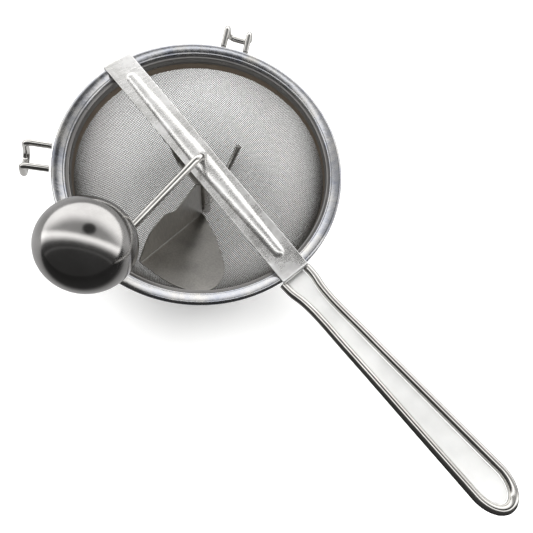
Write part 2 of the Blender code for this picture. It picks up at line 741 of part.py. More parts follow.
def handle_side(inset):
    """Distances and half widths down one side and round half of the tip, drawn in by an inset."""
    start = GAP + HANDLE_WIRE_R * math.sin(math.radians(HANDLE_RISE_DEG))
    straight = HANDLE_LENGTH - HANDLE_WIRE_R - HANDLE_TIP_LENGTH
    places = []
    for number in range(HANDLE_STEPS + 1):
        share = number / HANDLE_STEPS
        places.append((start + (straight - start) * share, handle_half_width(share) - inset))
    for number in range(1, HANDLE_TIP_STEPS + 1):
        angle = math.pi / 2 * number / HANDLE_TIP_STEPS
        distance = straight + (HANDLE_TIP_LENGTH - inset) * math.sin(angle)
        places.append((distance, (HANDLE_HALF_WIDTH - inset) * math.cos(angle)))
    return places


def make_handle_wire(material):
    side = handle_side(0)
    line = [handle_point(distance, width, 0) for distance, width in side]
    line += [handle_point(distance, -width, 0) for distance, width in side[-2::-1]]
    finish("handle_wire", tube(line, HANDLE_WIRE_R), material)


def make_handle_panel(material):
    """The sheet inside the wire, with a root that runs under the rim and turns down on the collar."""
    rise = math.radians(HANDLE_RISE_DEG)
    weld_x = COLLAR_OUTER_R + GAP + PANEL_SHEET / 2
    inner = -(RIM_R - weld_x) / math.cos(rise)
    stations = [(inner, PANEL_ROOT_HALF_WIDTH, PANEL_WELD_HEIGHT), (inner, PANEL_ROOT_HALF_WIDTH, 0)]
    inset = HANDLE_WIRE_R + GAP
    side = handle_side(inset)
    narrow = [row for row in side if row[1] > GAP]
    stations += [(0, PANEL_ROOT_HALF_WIDTH, 0)]
    stations += [(distance, width, 0) for distance, width in narrow]
    middle = [handle_point(distance, 0, -PANEL_SINK) for distance, width, drop in stations]
    line = [(point.x, point.z - drop) for point, (distance, width, drop) in zip(middle, stations)]
    left, right = both_sides(line, PANEL_SHEET)
    rings = []
    for upper, lower, (distance, width, drop) in zip(left, right, stations):
        ring = [(upper.x, -width, upper.y), (upper.x, width, upper.y)]
        ring += [(lower.x, width, lower.y), (lower.x, -width, lower.y)]
        rings.append(ring)
    finish("handle_panel", loft(rings), material)


def make_hook(name, azimuth_deg, material):
    """A bent wire loop that hangs over a pot's edge."""
    rim_x = math.sqrt(RIM_R ** 2 - (HOOK_HALF_WIDTH - HOOK_WIRE_R) ** 2)
    bend_x = RIM_R + HOOK_LENGTH
    start_x = rim_x + GAP + HOOK_WIRE_R * HOOK_RISE / HOOK_LENGTH
    end_x = bend_x + HOOK_OUTWARD
    half = HOOK_HALF_WIDTH
    low = RIM_Z - HOOK_DROP + HOOK_RISE
    corners = [(start_x, half, RIM_Z), (bend_x, half, RIM_Z + HOOK_RISE), (end_x, half, low)]
    corners += [(x, -y, z) for x, y, z in corners[::-1]]
    line = round_corners(corners, (HOOK_BEND_R, HOOK_CORNER_R, HOOK_CORNER_R, HOOK_BEND_R))
    turn = Matrix.Rotation(math.radians(azimuth_deg), 3, "Z")
    finish(name, tube([turn @ point for point in line], HOOK_WIRE_R, 8), material)


def empty(name, place):
    item = bpy.data.objects.new(name, None)
    item.location = place
    bpy.context.scene.collection.objects.link(item)
    return item


def main():
    clear_scene()
    polished = steel("polished_steel", (0.80, 0.80, 0.80), 0.12)
    rim_steel = steel("rim_steel", (0.72, 0.73, 0.76), 0.16)
    woven = steel("woven_mesh_steel", (0.50, 0.50, 0.49), 0.42)
    band_steel = steel("band_steel", (0.40, 0.37, 0.34), 0.35)
    rod_steel = steel("rod_steel", (0.70, 0.69, 0.67), 0.22)
    blade_steel = steel("blade_steel", (0.42, 0.41, 0.39), 0.38)
    bush_brass = steel("bushing_brass", (0.62, 0.48, 0.28), 0.35)
    pin_steel = steel("pin_steel", (0.60, 0.60, 0.60), 0.30)
    crank = empty("crank_axis", (0, 0, 0))
    knob = empty("knob_axis", polar(ARM_LENGTH, ARM_AZIMUTH_DEG, BALL_Z))
    make_rim(rim_steel)
    make_bowl(woven)
    make_band(band_steel)
    make_bridge(polished)
    make_bracket(blade_steel)
    make_bushing(bush_brass)
    make_washer(pin_steel)
    make_collar(pin_steel, pin_steel, crank)
    make_crank_rod(rod_steel, crank)
    make_hub(blade_steel, pin_steel, crank)
    make_blade(blade_steel, crank)
    make_scraper(rod_steel, crank)
    make_knob(polished, bush_brass, pin_steel, crank, knob)
    make_handle_wire(polished)
    make_handle_panel(polished)
    make_hook("hook_left", -HOOK_AZIMUTH_DEG, rod_steel)
    make_hook("hook_right", HOOK_AZIMUTH_DEG, rod_steel)


main()
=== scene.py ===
# %% [markdown]
# # A hand-cranked rotary sieve in polished steel
# The object is a round sieve of woven wire on a pressed rim. A bar bridges the rim and holds a crank.
# Under the bar the crank carries a folded paddle and a round scraper bar, and at its end a ball knob.
# A solid model already fixes the size and the joints. This lesson dresses it: it loads that model as a
# frame, works out finer surfaces with numpy in the same places, and gives each one the finish of the
# real metal. Lengths are in metres, +Z is up, and the handle points along +X.

# %% Load the frame that the pieces hang on
import math
import bmesh
import bpy
import numpy as np
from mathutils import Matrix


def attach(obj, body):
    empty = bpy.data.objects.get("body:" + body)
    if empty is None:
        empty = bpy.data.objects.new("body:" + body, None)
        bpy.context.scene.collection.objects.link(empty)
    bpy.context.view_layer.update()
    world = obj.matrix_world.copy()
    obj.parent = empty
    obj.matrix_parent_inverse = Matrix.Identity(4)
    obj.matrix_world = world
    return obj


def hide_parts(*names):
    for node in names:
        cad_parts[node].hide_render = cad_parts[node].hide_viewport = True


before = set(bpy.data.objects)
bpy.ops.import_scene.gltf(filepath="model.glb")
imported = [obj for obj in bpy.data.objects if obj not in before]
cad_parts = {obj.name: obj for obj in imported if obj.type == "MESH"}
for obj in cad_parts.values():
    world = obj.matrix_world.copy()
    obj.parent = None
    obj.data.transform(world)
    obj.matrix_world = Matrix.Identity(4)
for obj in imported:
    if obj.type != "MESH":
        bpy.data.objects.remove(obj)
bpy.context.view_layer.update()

# %% [markdown]
# ## Sizes
# Every size that more than one piece needs is named here once, in metres. The rim plane is the level of
# the rolled edge's middle, and drops are measured down from it.

# %% The sizes of the real pieces
RIM_Z = 0.0858
RIM_R = 0.1000
SHEET = 0.0008
ROLL_R = 0.0022
COLLAR_MID_R = 0.0919
BOWL_R = 0.0904
BOWL_DEPTH = 0.0850
BOWL_STRAIGHT = 0.0140
BOWL_FLAT_R = 0.0350
MESH_WALL = 0.0008
BRIDGE_UNDER_Z = 0.0883
BRIDGE_SHEET = 0.0012
BRIDGE_HALF = 0.0110
SHAFT_R = 0.0025
ARM_Z = 0.1033
ARM_LENGTH = 0.0960
SPINDLE_BEND_R = 0.0037
ARM_AZIMUTH = math.radians(-77.0)
GAP = 0.0003
HUB_R = 0.0046
BALL_R = 0.0267
BALL_Z = 0.1343
ARM_END = np.array([ARM_LENGTH * math.cos(ARM_AZIMUTH), ARM_LENGTH * math.sin(ARM_AZIMUTH), 0.0])
print("spindle at", np.round(ARM_END * 1000, 2), "mm")

# %% [markdown]
# ## From arrays to meshes
# A surface is a grid of points: one direction runs round the section, the other along the piece. The
# grid is filled as one array, and each cell becomes a four-sided face. Where the grid closes on itself
# the last row joins the first. Points that fall on each other, such as those at a pole, are merged.

# %% A grid of points becomes a mesh
def grid_faces(rows, columns, close_rows=False, close_columns=False):
    """Cell (i, j) takes the points (i, j), (i+1, j), (i+1, j+1) and (i, j+1) of the grid."""
    index = np.arange(rows * columns).reshape(rows, columns)
    if close_rows:
        index = np.vstack([index, index[:1]])
    if close_columns:
        index = np.hstack([index, index[:, :1]])
    cells = [index[:-1, :-1], index[1:, :-1], index[1:, 1:], index[:-1, 1:]]
    return np.stack(cells, axis=-1).reshape(-1, 4)


def grid_mesh(name, points, close_rows=False, close_columns=False):
    """Makes a mesh of a (rows, columns, 3) array, merges doubled points and turns the faces outward."""
    rows, columns = points.shape[:2]
    mesh = bpy.data.meshes.new(name)
    faces = grid_faces(rows, columns, close_rows, close_columns)
    mesh.from_pydata(points.reshape(-1, 3).tolist(), [], faces.tolist())
    bm = bmesh.new()
    bm.from_mesh(mesh)
    bmesh.ops.remove_doubles(bm, verts=bm.verts, dist=1e-6)
    bmesh.ops.recalc_face_normals(bm, faces=bm.faces)
    bm.to_mesh(mesh)
    bm.free()
    return mesh


print("a 3 by 4 grid has", len(grid_faces(3, 4)), "cells")

# %% [markdown]
# ## Putting a piece in place
# Each piece rides on a body of the frame, so that it turns with the crank or the knob. It gets the material
# of its finish, and it hides the plain solid that it stands for.

# %% One function puts a mesh into the scene
MATERIALS = {}


def place(mesh, body, finish, solids=()):
    """Links an object for the mesh, shades it smooth, gives it its finish, sets it on its body, hides its
    solids.
    """
    piece = bpy.data.objects.new(mesh.name, mesh)
    bpy.context.scene.collection.objects.link(piece)
    mesh.materials.append(MATERIALS[finish])
    mesh.polygons.foreach_set("use_smooth", np.full(len(mesh.polygons), True))
    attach(piece, body)
    if solids:
        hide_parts(*solids)
    print(f"{mesh.name}: {len(mesh.vertices)} points on {body}")
    return piece


def even_shading(piece):
    """Large faces lead the shading, so flat metal stays flat right up to its rounded edges."""
    step = piece.modifiers.new("even_shading", "WEIGHTED_NORMAL")
    step.keep_sharp = True


# %% [markdown]
# ## Materials
# Nearly all of the object is steel, so what tells one piece from the next is how its surface was made:
# rolled and buffed, drawn through a die, woven, or left satin from the mill. A metal's colour is the share
# of light that it gives back, about 60% for steel and a little warm. Each tone starts there and is then
# matched to the object. Roughness and a very low relief do the rest. Colours are written as hex values, as
# in a paint program, and one function turns them linear.

# %% Colour and node helpers
def linear(hex_code):
    """sRGB to linear: a channel up to 0.04045 is divided by 12.92, above it ((c + 0.055) / 1.055) ** 2.4."""
    channels = np.array([int(hex_code[start:start + 2], 16) for start in (1, 3, 5)]) / 255
    low = channels / 12.92
    high = ((channels + 0.055) / 1.055) ** 2.4
    return (*np.where(channels <= 0.04045, low, high).tolist(), 1.0)


def add_node(tree, kind, inputs=None, **settings):
    """Adds a node. An input gets a value, or a link where its value is another node's output."""
    node = tree.nodes.new(kind)
    for name, value in settings.items():
        setattr(node, name, value)
    for name, value in (inputs or {}).items():
        if isinstance(value, bpy.types.NodeSocket):
            tree.links.new(value, node.inputs[name])
        else:
            node.inputs[name].default_value = value
    return node


def new_finish(name):
    """A material with an empty tree, a metal shader and its output."""
    material = bpy.data.materials.new(name)
    material.use_nodes = True
    tree = material.node_tree
    tree.nodes.clear()
    shader = add_node(tree, "ShaderNodeBsdfPrincipled", {"Metallic": 1.0})
    add_node(tree, "ShaderNodeOutputMaterial", {"Surface": shader.outputs["BSDF"]})
    MATERIALS[name] = material
    return tree, shader


print("steel's grey, linear:", np.round(linear("#C8C6C2"), 3))

# %% [markdown]
# ### Patches of tone and gloss
# No steel surface is even: wiping, heat and wear leave patches that differ a little in tone and in gloss.
# On the buffed pieces one noise drives both, so a lighter patch is also a duller one, as on real metal.

# %% Patches from a pattern
GLOSS_SPREAD = (0.3, 0.7)


def patchy_metal(tree, shader, tint_by, tones, tint_spread, gloss_by, haze, gloss_spread=GLOSS_SPREAD):
    """One pattern runs the colour from the first tone to the second, one runs the roughness over haze.

    Each spread is the part of its pattern, between 0 and 1, in which the change happens.
    """
    tint = add_node(tree, "ShaderNodeValToRGB", {"Fac": tint_by})
    for stop, place_at, tone in zip(tint.color_ramp.elements, tint_spread, tones):
        stop.position = place_at
        stop.color = linear(tone)
    gloss = add_node(tree, "ShaderNodeMapRange", {
        "Value": gloss_by, "From Min": gloss_spread[0], "From Max": gloss_spread[1],
        "To Min": haze[0], "To Max": haze[1]})
    tree.links.new(tint.outputs["Color"], shader.inputs["Base Color"])
    tree.links.new(gloss.outputs["Result"], shader.inputs["Roughness"])


print("gloss changes between", GLOSS_SPREAD, "of its pattern, where nothing else is said")

# %% [markdown]
# ### Buffed sheet, loop and ball
# The bridge, the handle and the ball are stainless steel, buffed on a soft wheel. The wheel leaves wide
# soft waves, fine hairlines and cloudy patches where the compound was wiped off. The waves bend the
# reflections, which is what makes thin pressed steel look real. Real hairlines lie about 0.3 mm apart and
# would be lost between pixels, so they are drawn 0.6 to 1.5 mm apart. The ball is the nearest to a mirror.
# The handle's sheet and the bridge have a milky haze of scratches. It scatters some light instead of
# mirroring it, so these two are a little less than full metal.

# %% Buffed stainless steel
CLOUD_MM = 18


def buffed_steel(name, tones, haze, wave_mm, line_mm, wave_height, line_height, stretch, metal=1.0):
    """Buffed steel: cloudy tone and roughness, waves wave_mm wide and hairlines line_mm wide as relief."""
    tree, shader = new_finish(name)
    place_on = add_node(tree, "ShaderNodeTexCoord").outputs["Object"]
    clouds = add_node(tree, "ShaderNodeTexNoise", {
        "Vector": place_on, "Scale": 1000 / CLOUD_MM, "Detail": 4.0, "Roughness": 0.6})
    patchy_metal(tree, shader, clouds.outputs["Fac"], tones, (0.35, 0.70), clouds.outputs["Fac"], haze,
                 (0.3, 0.75))
    waves = add_node(tree, "ShaderNodeTexNoise", {
        "Vector": place_on, "Scale": 1000 / wave_mm, "Detail": 1.0})
    drawn = add_node(tree, "ShaderNodeMapping", {"Vector": place_on, "Scale": stretch})
    hairlines = add_node(tree, "ShaderNodeTexNoise", {
        "Vector": drawn.outputs["Vector"], "Scale": 1000 / line_mm, "Detail": 3.0, "Roughness": 0.7})
    soft = add_node(tree, "ShaderNodeBump", {
        "Height": waves.outputs["Fac"], "Strength": 1.0, "Distance": wave_height})
    fine = add_node(tree, "ShaderNodeBump", {
        "Height": hairlines.outputs["Fac"], "Strength": 1.0, "Distance": line_height,
        "Normal": soft.outputs["Normal"]})
    tree.links.new(fine.outputs["Normal"], shader.inputs["Normal"])
    shader.inputs["Metallic"].default_value = metal


# Milky sheet with hairlines along the handle: it looks nearly white and shows no sharp reflection.
buffed_steel("buffed_stainless_sheet", ("#F2F2F0", "#FAFAF8"), (0.30, 0.42), 16, 0.9,
             0.00022, 0.000012, (0.05, 1.0, 1.0), metal=0.75)
# Satin bar, brushed across: its flats look bright and a little uneven beside the shading of the rib.
buffed_steel("brushed_bridge_steel", ("#DEDDDA", "#FAF9F8"), (0.20, 0.34), 12, 1.5,
             0.00022, 0.00012, (1.0, 0.16, 1.0), metal=0.90)
# Bright round wire: one sharp light line and one dark line run along the handle's loop.
buffed_steel("buffed_stainless_wire", ("#C9C7C3", "#DEDCD8"), (0.08, 0.18), 9, 0.9,
             0.00010, 0.000010, (0.05, 1.0, 1.0))
# Dark near mirror: the ball shows the tent's roof, its strip and the dark room, a little softened.
buffed_steel("mirror_stainless_ball", ("#ACAAA8", "#BCBAB8"), (0.12, 0.19), 30, 0.6,
             0.00004, 0.000002, (1.0, 1.0, 1.0))
print(len(MATERIALS), "buffed finishes")

# %% [markdown]
# ### Drawn rod
# The crank, the scraper and the hooks are stainless wire drawn bright through a die. The die leaves them
# smooth, with a soft waviness and a very fine grain, so they carry clean light and dark lines.

# %% Bright drawn wire
buffed_steel("bright_drawn_wire", ("#C6C4C0", "#E2E0DC"), (0.06, 0.16), 7, 0.6,
             0.00005, 0.000002, (1.0, 1.0, 1.0))
print("bright_drawn_wire made")

# %% [markdown]
# ### Pressed rim
# The rim was spun between rollers, which left very faint ridges round it, about 3 mm apart. Rings on Object
# coordinates follow the distance from the crank's axis, which is this piece's own centre. Soft dents some
# 14 mm wide break the long reflections of the rolled edge into patches. Its tone is cool and grey.

# %% Spun and buffed rim steel
RIDGE_MM = math.pi


def spun_steel(name, tones, haze, ring_mm, ring_height, cloud_mm, dent_height):
    """Spun steel: rings ring_mm apart round the crank's axis and dents cloud_mm wide, both as relief.

    A wave texture has a ring every tau / 20 of a unit, and the scale makes that ring_mm.
    """
    tree, shader = new_finish(name)
    place_on = add_node(tree, "ShaderNodeTexCoord").outputs["Object"]
    rings = add_node(tree, "ShaderNodeTexWave", {
        "Vector": place_on, "Scale": 1000 * math.tau / (20 * ring_mm), "Distortion": 1.5,
        "Detail": 2.0, "Detail Scale": 4.0}, wave_type="RINGS", rings_direction="Z")
    clouds = add_node(tree, "ShaderNodeTexNoise", {
        "Vector": place_on, "Scale": 1000 / cloud_mm, "Detail": 5.0, "Roughness": 0.6})
    patchy_metal(tree, shader, clouds.outputs["Fac"], tones, (0.32, 0.68), clouds.outputs["Fac"], haze)
    relief = add_node(tree, "ShaderNodeBump", {
        "Height": rings.outputs["Fac"], "Strength": 1.0, "Distance": ring_height})
    dents = add_node(tree, "ShaderNodeBump", {
        "Height": clouds.outputs["Fac"], "Strength": 1.0, "Distance": dent_height,
        "Normal": relief.outputs["Normal"]})
    tree.links.new(dents.outputs["Normal"], shader.inputs["Normal"])


spun_steel("spun_rim_steel", ("#A9ADB8", "#CFCDC9"), (0.16, 0.28), RIDGE_MM, 0.0000015, 14, 0.00030)
print("spun_rim_steel made")

# %% [markdown]
# ### Clamp band
# The band that clamps the mesh inside the rim is thin satin steel. Its colour changes with height, with an
# uneven edge: grey above and a faint brown below. Both tones are darker than the rest of the steel, as
# painted shade of the deep gap between the collar and the mesh. To the eye it is the one warm line between
# the grey mesh and the grey rim.

# %% Satin band, darkened as painted shade, with a brown lower half
PATCH_MM = 6
EDGE_SHIFT = 0.0022
BAND_HAZE = (0.26, 0.42)


def two_tone_band(name, top_hex, low_hex, turn_z, blend):
    """Two colours by height: z + 2.2 mm times the noise steps from one to the other about turn_z."""
    tree, shader = new_finish(name)
    place_on = add_node(tree, "ShaderNodeTexCoord").outputs["Object"]
    height = add_node(tree, "ShaderNodeSeparateXYZ", {"Vector": place_on}).outputs["Z"]
    patches = add_node(tree, "ShaderNodeTexNoise", {
        "Vector": place_on, "Scale": 1000 / PATCH_MM, "Detail": 4.0, "Roughness": 0.65})
    shift = add_node(tree, "ShaderNodeMath", {0: patches.outputs["Fac"], 1: EDGE_SHIFT, 2: height},
                     operation="MULTIPLY_ADD")
    step = add_node(tree, "ShaderNodeMapRange", {
        "Value": shift.outputs["Value"], "From Min": turn_z - blend, "From Max": turn_z + blend},
        interpolation_type="SMOOTHSTEP")
    colours = add_node(tree, "ShaderNodeMix", {
        "Factor": step.outputs["Result"], "A": linear(low_hex), "B": linear(top_hex)}, data_type="RGBA")
    tree.links.new(colours.outputs["Result"], shader.inputs["Base Color"])
    gloss = add_node(tree, "ShaderNodeMapRange", {
        "Value": patches.outputs["Fac"], "From Min": GLOSS_SPREAD[0], "From Max": GLOSS_SPREAD[1],
        "To Min": BAND_HAZE[0], "To Max": BAND_HAZE[1]})
    tree.links.new(gloss.outputs["Result"], shader.inputs["Roughness"])
    relief = add_node(tree, "ShaderNodeBump", {
        "Height": patches.outputs["Fac"], "Strength": 1.0, "Distance": 0.00006})
    tree.links.new(relief.outputs["Normal"], shader.inputs["Normal"])


# Both tones are kept dark as painted shade of the gap under the rim: grey above, faint brown below.
two_tone_band("band_steel_painted_shade", "#989694", "#A39484", RIM_Z - 0.0060, 0.0005)
print("band_steel_painted_shade made")

# %% [markdown]
# ### Satin blade
# The paddle, the hub and the bearing strip are plain mill-finish steel, rubbed by the food. It is darker
# and duller than the outside, with scratches along the sheet and a stain here and there. The pins and
# washers are turned from the same steel, and the bush and the sleeve from brass, with the same recipe.

# %% Mill-finish steel of the paddle and the bracket
STAIN_MM = 22


def mill_steel(name, tones, haze, line_mm, line_height, stretch):
    """Satin metal: the mean of scratches and stains sets the tone, stains the gloss, scratches relief."""
    tree, shader = new_finish(name)
    place_on = add_node(tree, "ShaderNodeTexCoord").outputs["Object"]
    drawn = add_node(tree, "ShaderNodeMapping", {"Vector": place_on, "Scale": stretch})
    scratches = add_node(tree, "ShaderNodeTexNoise", {
        "Vector": drawn.outputs["Vector"], "Scale": 1000 / line_mm, "Detail": 4.0, "Roughness": 0.65})
    stains = add_node(tree, "ShaderNodeTexNoise", {
        "Vector": place_on, "Scale": 1000 / STAIN_MM, "Detail": 5.0, "Roughness": 0.6})
    both = add_node(tree, "ShaderNodeMath", {
        0: scratches.outputs["Fac"], 1: stains.outputs["Fac"]}, operation="ADD")
    mean = add_node(tree, "ShaderNodeMath", {0: both.outputs["Value"], 1: 0.5}, operation="MULTIPLY")
    patchy_metal(tree, shader, mean.outputs["Value"], tones, (0.36, 0.64), stains.outputs["Fac"], haze)
    relief = add_node(tree, "ShaderNodeBump", {
        "Height": scratches.outputs["Fac"], "Strength": 1.0, "Distance": line_height})
    tree.links.new(relief.outputs["Normal"], shader.inputs["Normal"])


# Dull mid grey with upright scratches, for the paddle and the bearing strip.
mill_steel("satin_blade_steel", ("#979591", "#B7B4AF"), (0.28, 0.40), 1.2, 0.000030, (1.0, 1.0, 0.12))
# A little darker, for the tube that the paddle is welded to.
mill_steel("satin_hub_steel", ("#8D8A86", "#B0ADA8"), (0.22, 0.34), 0.9, 0.000016, (1.0, 1.0, 0.15))
# Lighter and glossier, so a pin's end shows as a small bright dot.
mill_steel("satin_pin_steel", ("#ABA9A5", "#CFCCC8"), (0.18, 0.30), 0.6, 0.000006, (1.0, 1.0, 0.4))
# Brass with the lathe's grooves round it: the only yellow, and mostly out of sight.
mill_steel("turned_brass", ("#B08F52", "#CDAA66"), (0.20, 0.32), 0.5, 0.000008, (1.0, 1.0, 6.0))
print("satin finishes made")

# %% [markdown]
# ### Woven wire
# The mesh is drawn stainless wire, darker than the rod, since so fine a wire is never buffed. Each wire
# glints a little differently, which gives the cloth its sparkle. Here the darker wires are the duller ones.

# %% Fine drawn mesh wire
CROSSING_MM = 1.4


def mesh_wire(name, tones, haze):
    """Fine wire: speckled colour from noise about as wide as a wire's crossing."""
    tree, shader = new_finish(name)
    place_on = add_node(tree, "ShaderNodeTexCoord").outputs["Object"]
    speckle = add_node(tree, "ShaderNodeTexNoise", {
        "Vector": place_on, "Scale": 1000 / CROSSING_MM, "Detail": 2.0, "Roughness": 0.7})
    patchy_metal(tree, shader, speckle.outputs["Fac"], tones, (0.38, 0.66), speckle.outputs["Fac"],
                 haze[::-1], (0.35, 0.65))


mesh_wire("woven_stainless_wire", ("#6B6863", "#9D9A95"), (0.24, 0.42))
print("finishes:", sorted(MATERIALS))

# %% [markdown]
# ## Shapes from a profile
# Three recipes make nearly every piece. A profile turned round an axis gives the rim, the band, the ball
# and the bushes. A round section carried along a bent line gives the wires and rods. A flat section
# carried along a line gives the pressed strips.

# %% Turned pieces
def sheet_outline(line, thickness, cap_steps=6):
    """Offsets a 2D line by half the thickness to both sides, with a half circle round each end."""
    line = np.asarray(line, dtype=float)
    along = np.gradient(line, axis=0)
    along /= np.linalg.norm(along, axis=1, keepdims=True)
    across = np.stack([-along[:, 1], along[:, 0]], axis=1)
    half = thickness / 2
    turn = np.linspace(0, math.pi, cap_steps + 2)[1:-1, None]
    far = line[-1] + half * (across[-1] * np.cos(turn) + along[-1] * np.sin(turn))
    near = line[0] + half * (-across[0] * np.cos(turn) - along[0] * np.sin(turn))
    return np.vstack([line + across * half, far, (line - across * half)[::-1], near])


def soft_corners(corners, radius, steps=4):
    """Each corner P becomes a curve (1-t)^2 A + 2t(1-t) P + t^2 B, with A and B a radius away from it."""
    corners = np.asarray(corners, dtype=float)
    before = np.roll(corners, 1, axis=0) - corners
    after = np.roll(corners, -1, axis=0) - corners
    start = corners + before / np.linalg.norm(before, axis=1, keepdims=True) * radius
    end = corners + after / np.linalg.norm(after, axis=1, keepdims=True) * radius
    t = np.linspace(0, 1, steps)[None, :, None]
    curve = (1 - t) ** 2 * start[:, None] + 2 * t * (1 - t) * corners[:, None] + t ** 2 * end[:, None]
    return curve.reshape(-1, 2)


def turned(name, profile, steps, centre=(0.0, 0.0, 0.0), closed=True):
    """Point (r, z) of the profile goes to (r cos a, r sin a, z) for each angle a of a full turn."""
    profile = np.asarray(profile, dtype=float)
    angle = np.linspace(0, math.tau, steps, endpoint=False)[:, None]
    points = np.stack([
        profile[:, 0] * np.cos(angle), profile[:, 0] * np.sin(angle),
        np.broadcast_to(profile[:, 1], (steps, len(profile)))], axis=-1)
    return grid_mesh(name, points + np.asarray(centre), close_rows=True, close_columns=closed)


def arc(centre, radius, start_deg, end_deg, steps):
    """Point i is centre + radius (cos a, sin a), with a going evenly from the start to the end."""
    angle = np.radians(np.linspace(start_deg, end_deg, steps))
    return np.stack([centre[0] + radius * np.cos(angle), centre[1] + radius * np.sin(angle)], axis=1)


print("a washer's outline has", len(soft_corners([(3, 0), (6, 0), (6, 1), (3, 1)], 0.1)), "points")

# %% [markdown]
# ### Wires and rods
# A bent rod is straight legs joined by arcs, because it is bent round a pin. A circle is carried along
# that line without twisting. Close rings next to each bend and each end keep the shading of the straight
# part straight, and the ends are low domes, as left by cutting and tumbling.

# %% A bent line and a round section along it
BESIDE_BEND = 0.0004
BESIDE_END = 0.2
DOME_RINGS = 4


def bent_line(corners, radii, step_deg=5.0):
    """Rounds each inner corner of a 3D line: an arc of the bend's radius that touches both legs."""
    corners = np.asarray(corners, dtype=float)
    line = [corners[:1]]
    for before, corner, after, radius in zip(corners, corners[1:], corners[2:], radii):
        back = (before - corner) / np.linalg.norm(before - corner)
        ahead = (after - corner) / np.linalg.norm(after - corner)
        half = math.acos(np.clip(back @ ahead, -1, 1)) / 2
        middle = (back + ahead) / np.linalg.norm(back + ahead)
        centre = corner + middle * radius / math.sin(half)
        sweep = math.pi - 2 * half
        angle = np.linspace(-sweep / 2, sweep / 2, max(int(math.degrees(sweep) / step_deg), 3))[:, None]
        sideways = ahead - middle * (ahead @ middle)
        sideways /= np.linalg.norm(sideways)
        turn = centre + radius * (-middle * np.cos(angle) + sideways * np.sin(angle))
        line += [turn[:1] + back * BESIDE_BEND, turn, turn[-1:] + ahead * BESIDE_BEND]
    line.append(corners[-1:])
    return np.vstack(line)


def carried_frames(path):
    """The direction along the path, and a side that loses its share along each new direction in turn."""
    along = np.gradient(path, axis=0)
    along /= np.linalg.norm(along, axis=1, keepdims=True)
    side = np.cross(along[0], (0.0, 0.0, 1.0) if abs(along[0][2]) < 0.9 else (1.0, 0.0, 0.0))
    sides = []
    for direction in along:
        side = side - direction * (side @ direction)
        side /= np.linalg.norm(side)
        sides.append(side)
    return along, np.array(sides)


def wire(name, path, radius, sides, dome=0.35):
    """Circle points path + radius (side cos a + lift sin a), closed at each end by a low dome."""
    path = np.array(path, dtype=float)
    along, side = carried_frames(path)
    lift = np.cross(along, side)
    cap = np.linspace(0, math.pi / 2, DOME_RINGS + 1)[1:]
    first, last = along[0] * radius, along[-1] * radius
    path[0] += first * dome
    path[-1] -= last * dome
    starts = path[0] - first * dome * np.sin(cap)[:, None]
    ends = path[-1] + last * dome * np.sin(cap)[:, None]
    path = np.vstack([path[:1], path[:1] + first * BESIDE_END, path[1:-1],
                      path[-1:] - last * BESIDE_END, path[-1:]])
    centres = np.vstack([starts[::-1], path, ends])
    reach = np.concatenate([np.cos(cap)[::-1], np.ones(len(path)), np.cos(cap)]) * radius
    more = DOME_RINGS + 1
    side, lift = (np.pad(rows, ((more, more), (0, 0)), mode="edge") for rows in (side, lift))
    angle = np.linspace(0, math.tau, sides, endpoint=False)[None, :, None]
    ring = side[:, None] * np.cos(angle) + lift[:, None] * np.sin(angle)
    points = centres[:, None] + ring * reach[:, None, None]
    return grid_mesh(name, points, close_columns=True)


print("a right-angled bend has", len(bent_line([(0, 0, 0), (1, 0, 0), (1, 1, 0)], [0.2])), "points")

# %% [markdown]
# ### Pressed strips
# The bridge, the bearing strip and the handle's sheet are flat sheet, cut and bent. One line gives the bend
# as seen from the side, a table gives the half width along it, and a lift presses a rib into it.

# %% A sheet along a bent line
EDGE_RINGS = 3
EDGE_POINTS = 5


def strip(name, line, halves, thickness, across, lift=None):
    """A sheet along an (x, z) line: across is a row of shares of the half width, lift raises each point.

    Point (i, j) is line i moved by half the thickness along its normal, at y = half width i times share j.
    The long edges are half circles, and the ends close in by the same half circle.
    """
    line = np.array(line, dtype=float)
    half = thickness / 2
    along = np.gradient(line, axis=0)
    along /= np.linalg.norm(along, axis=1, keepdims=True)
    cap = np.linspace(0, math.pi / 2, EDGE_RINGS + 1)[1:]
    ends = line[-1] - along[-1] * half * (1 - np.sin(cap))[:, None]
    starts = line[0] + along[0] * half * (1 - np.sin(cap))[:, None]
    line[0] += along[0] * half
    line[-1] -= along[-1] * half

    def longer(rows):
        """The rounded ends take the values of the first and the last row."""
        return np.pad(rows, ((EDGE_RINGS, EDGE_RINGS), (0, 0)), mode="edge")

    across = np.asarray(across, dtype=float)
    if across.ndim == 1:
        across = np.broadcast_to(across, (len(line), len(across)))
    lift = longer(np.zeros(across.shape) if lift is None else lift)
    line, along, across = np.vstack([starts[::-1], line, ends]), longer(along), longer(across)
    thin = np.concatenate([np.cos(cap)[::-1], np.ones(len(line) - 2 * EDGE_RINGS), np.cos(cap)])[:, None]
    inner = longer(np.asarray(halves, dtype=float)[:, None]) - (1 - thin) * half - half
    edge = np.linspace(math.pi / 2, -math.pi / 2, EDGE_POINTS + 2)[1:-1]
    y_top = across * inner
    y = np.hstack([y_top, inner + half * np.cos(edge), y_top[:, ::-1], -inner - half * np.cos(edge)])
    face = np.ones(across.shape[1])
    share = np.concatenate([face, np.sin(edge), -face, -np.sin(edge)])
    lifted = np.hstack([lift, np.repeat(lift[:, -1:], EDGE_POINTS, 1),
                        lift[:, ::-1], np.repeat(lift[:, :1], EDGE_POINTS, 1)])
    off = half * thin * share + lifted
    x = line[:, :1] - along[:, 1:] * off
    z = line[:, 1:] + along[:, :1] * off
    return grid_mesh(name, np.stack([x, y, z], axis=-1), close_columns=True)


print("a section of 15 shares has", 2 * 15 + 2 * EDGE_POINTS, "points round it")

# %% [markdown]
# ### Holes and tables
# A drilled hole is cut with a Boolean, whose result is kept at once, so the piece's mesh is final. Curved
# outlines come from short tables. A cubic runs through them, since straight steps would show as corners.

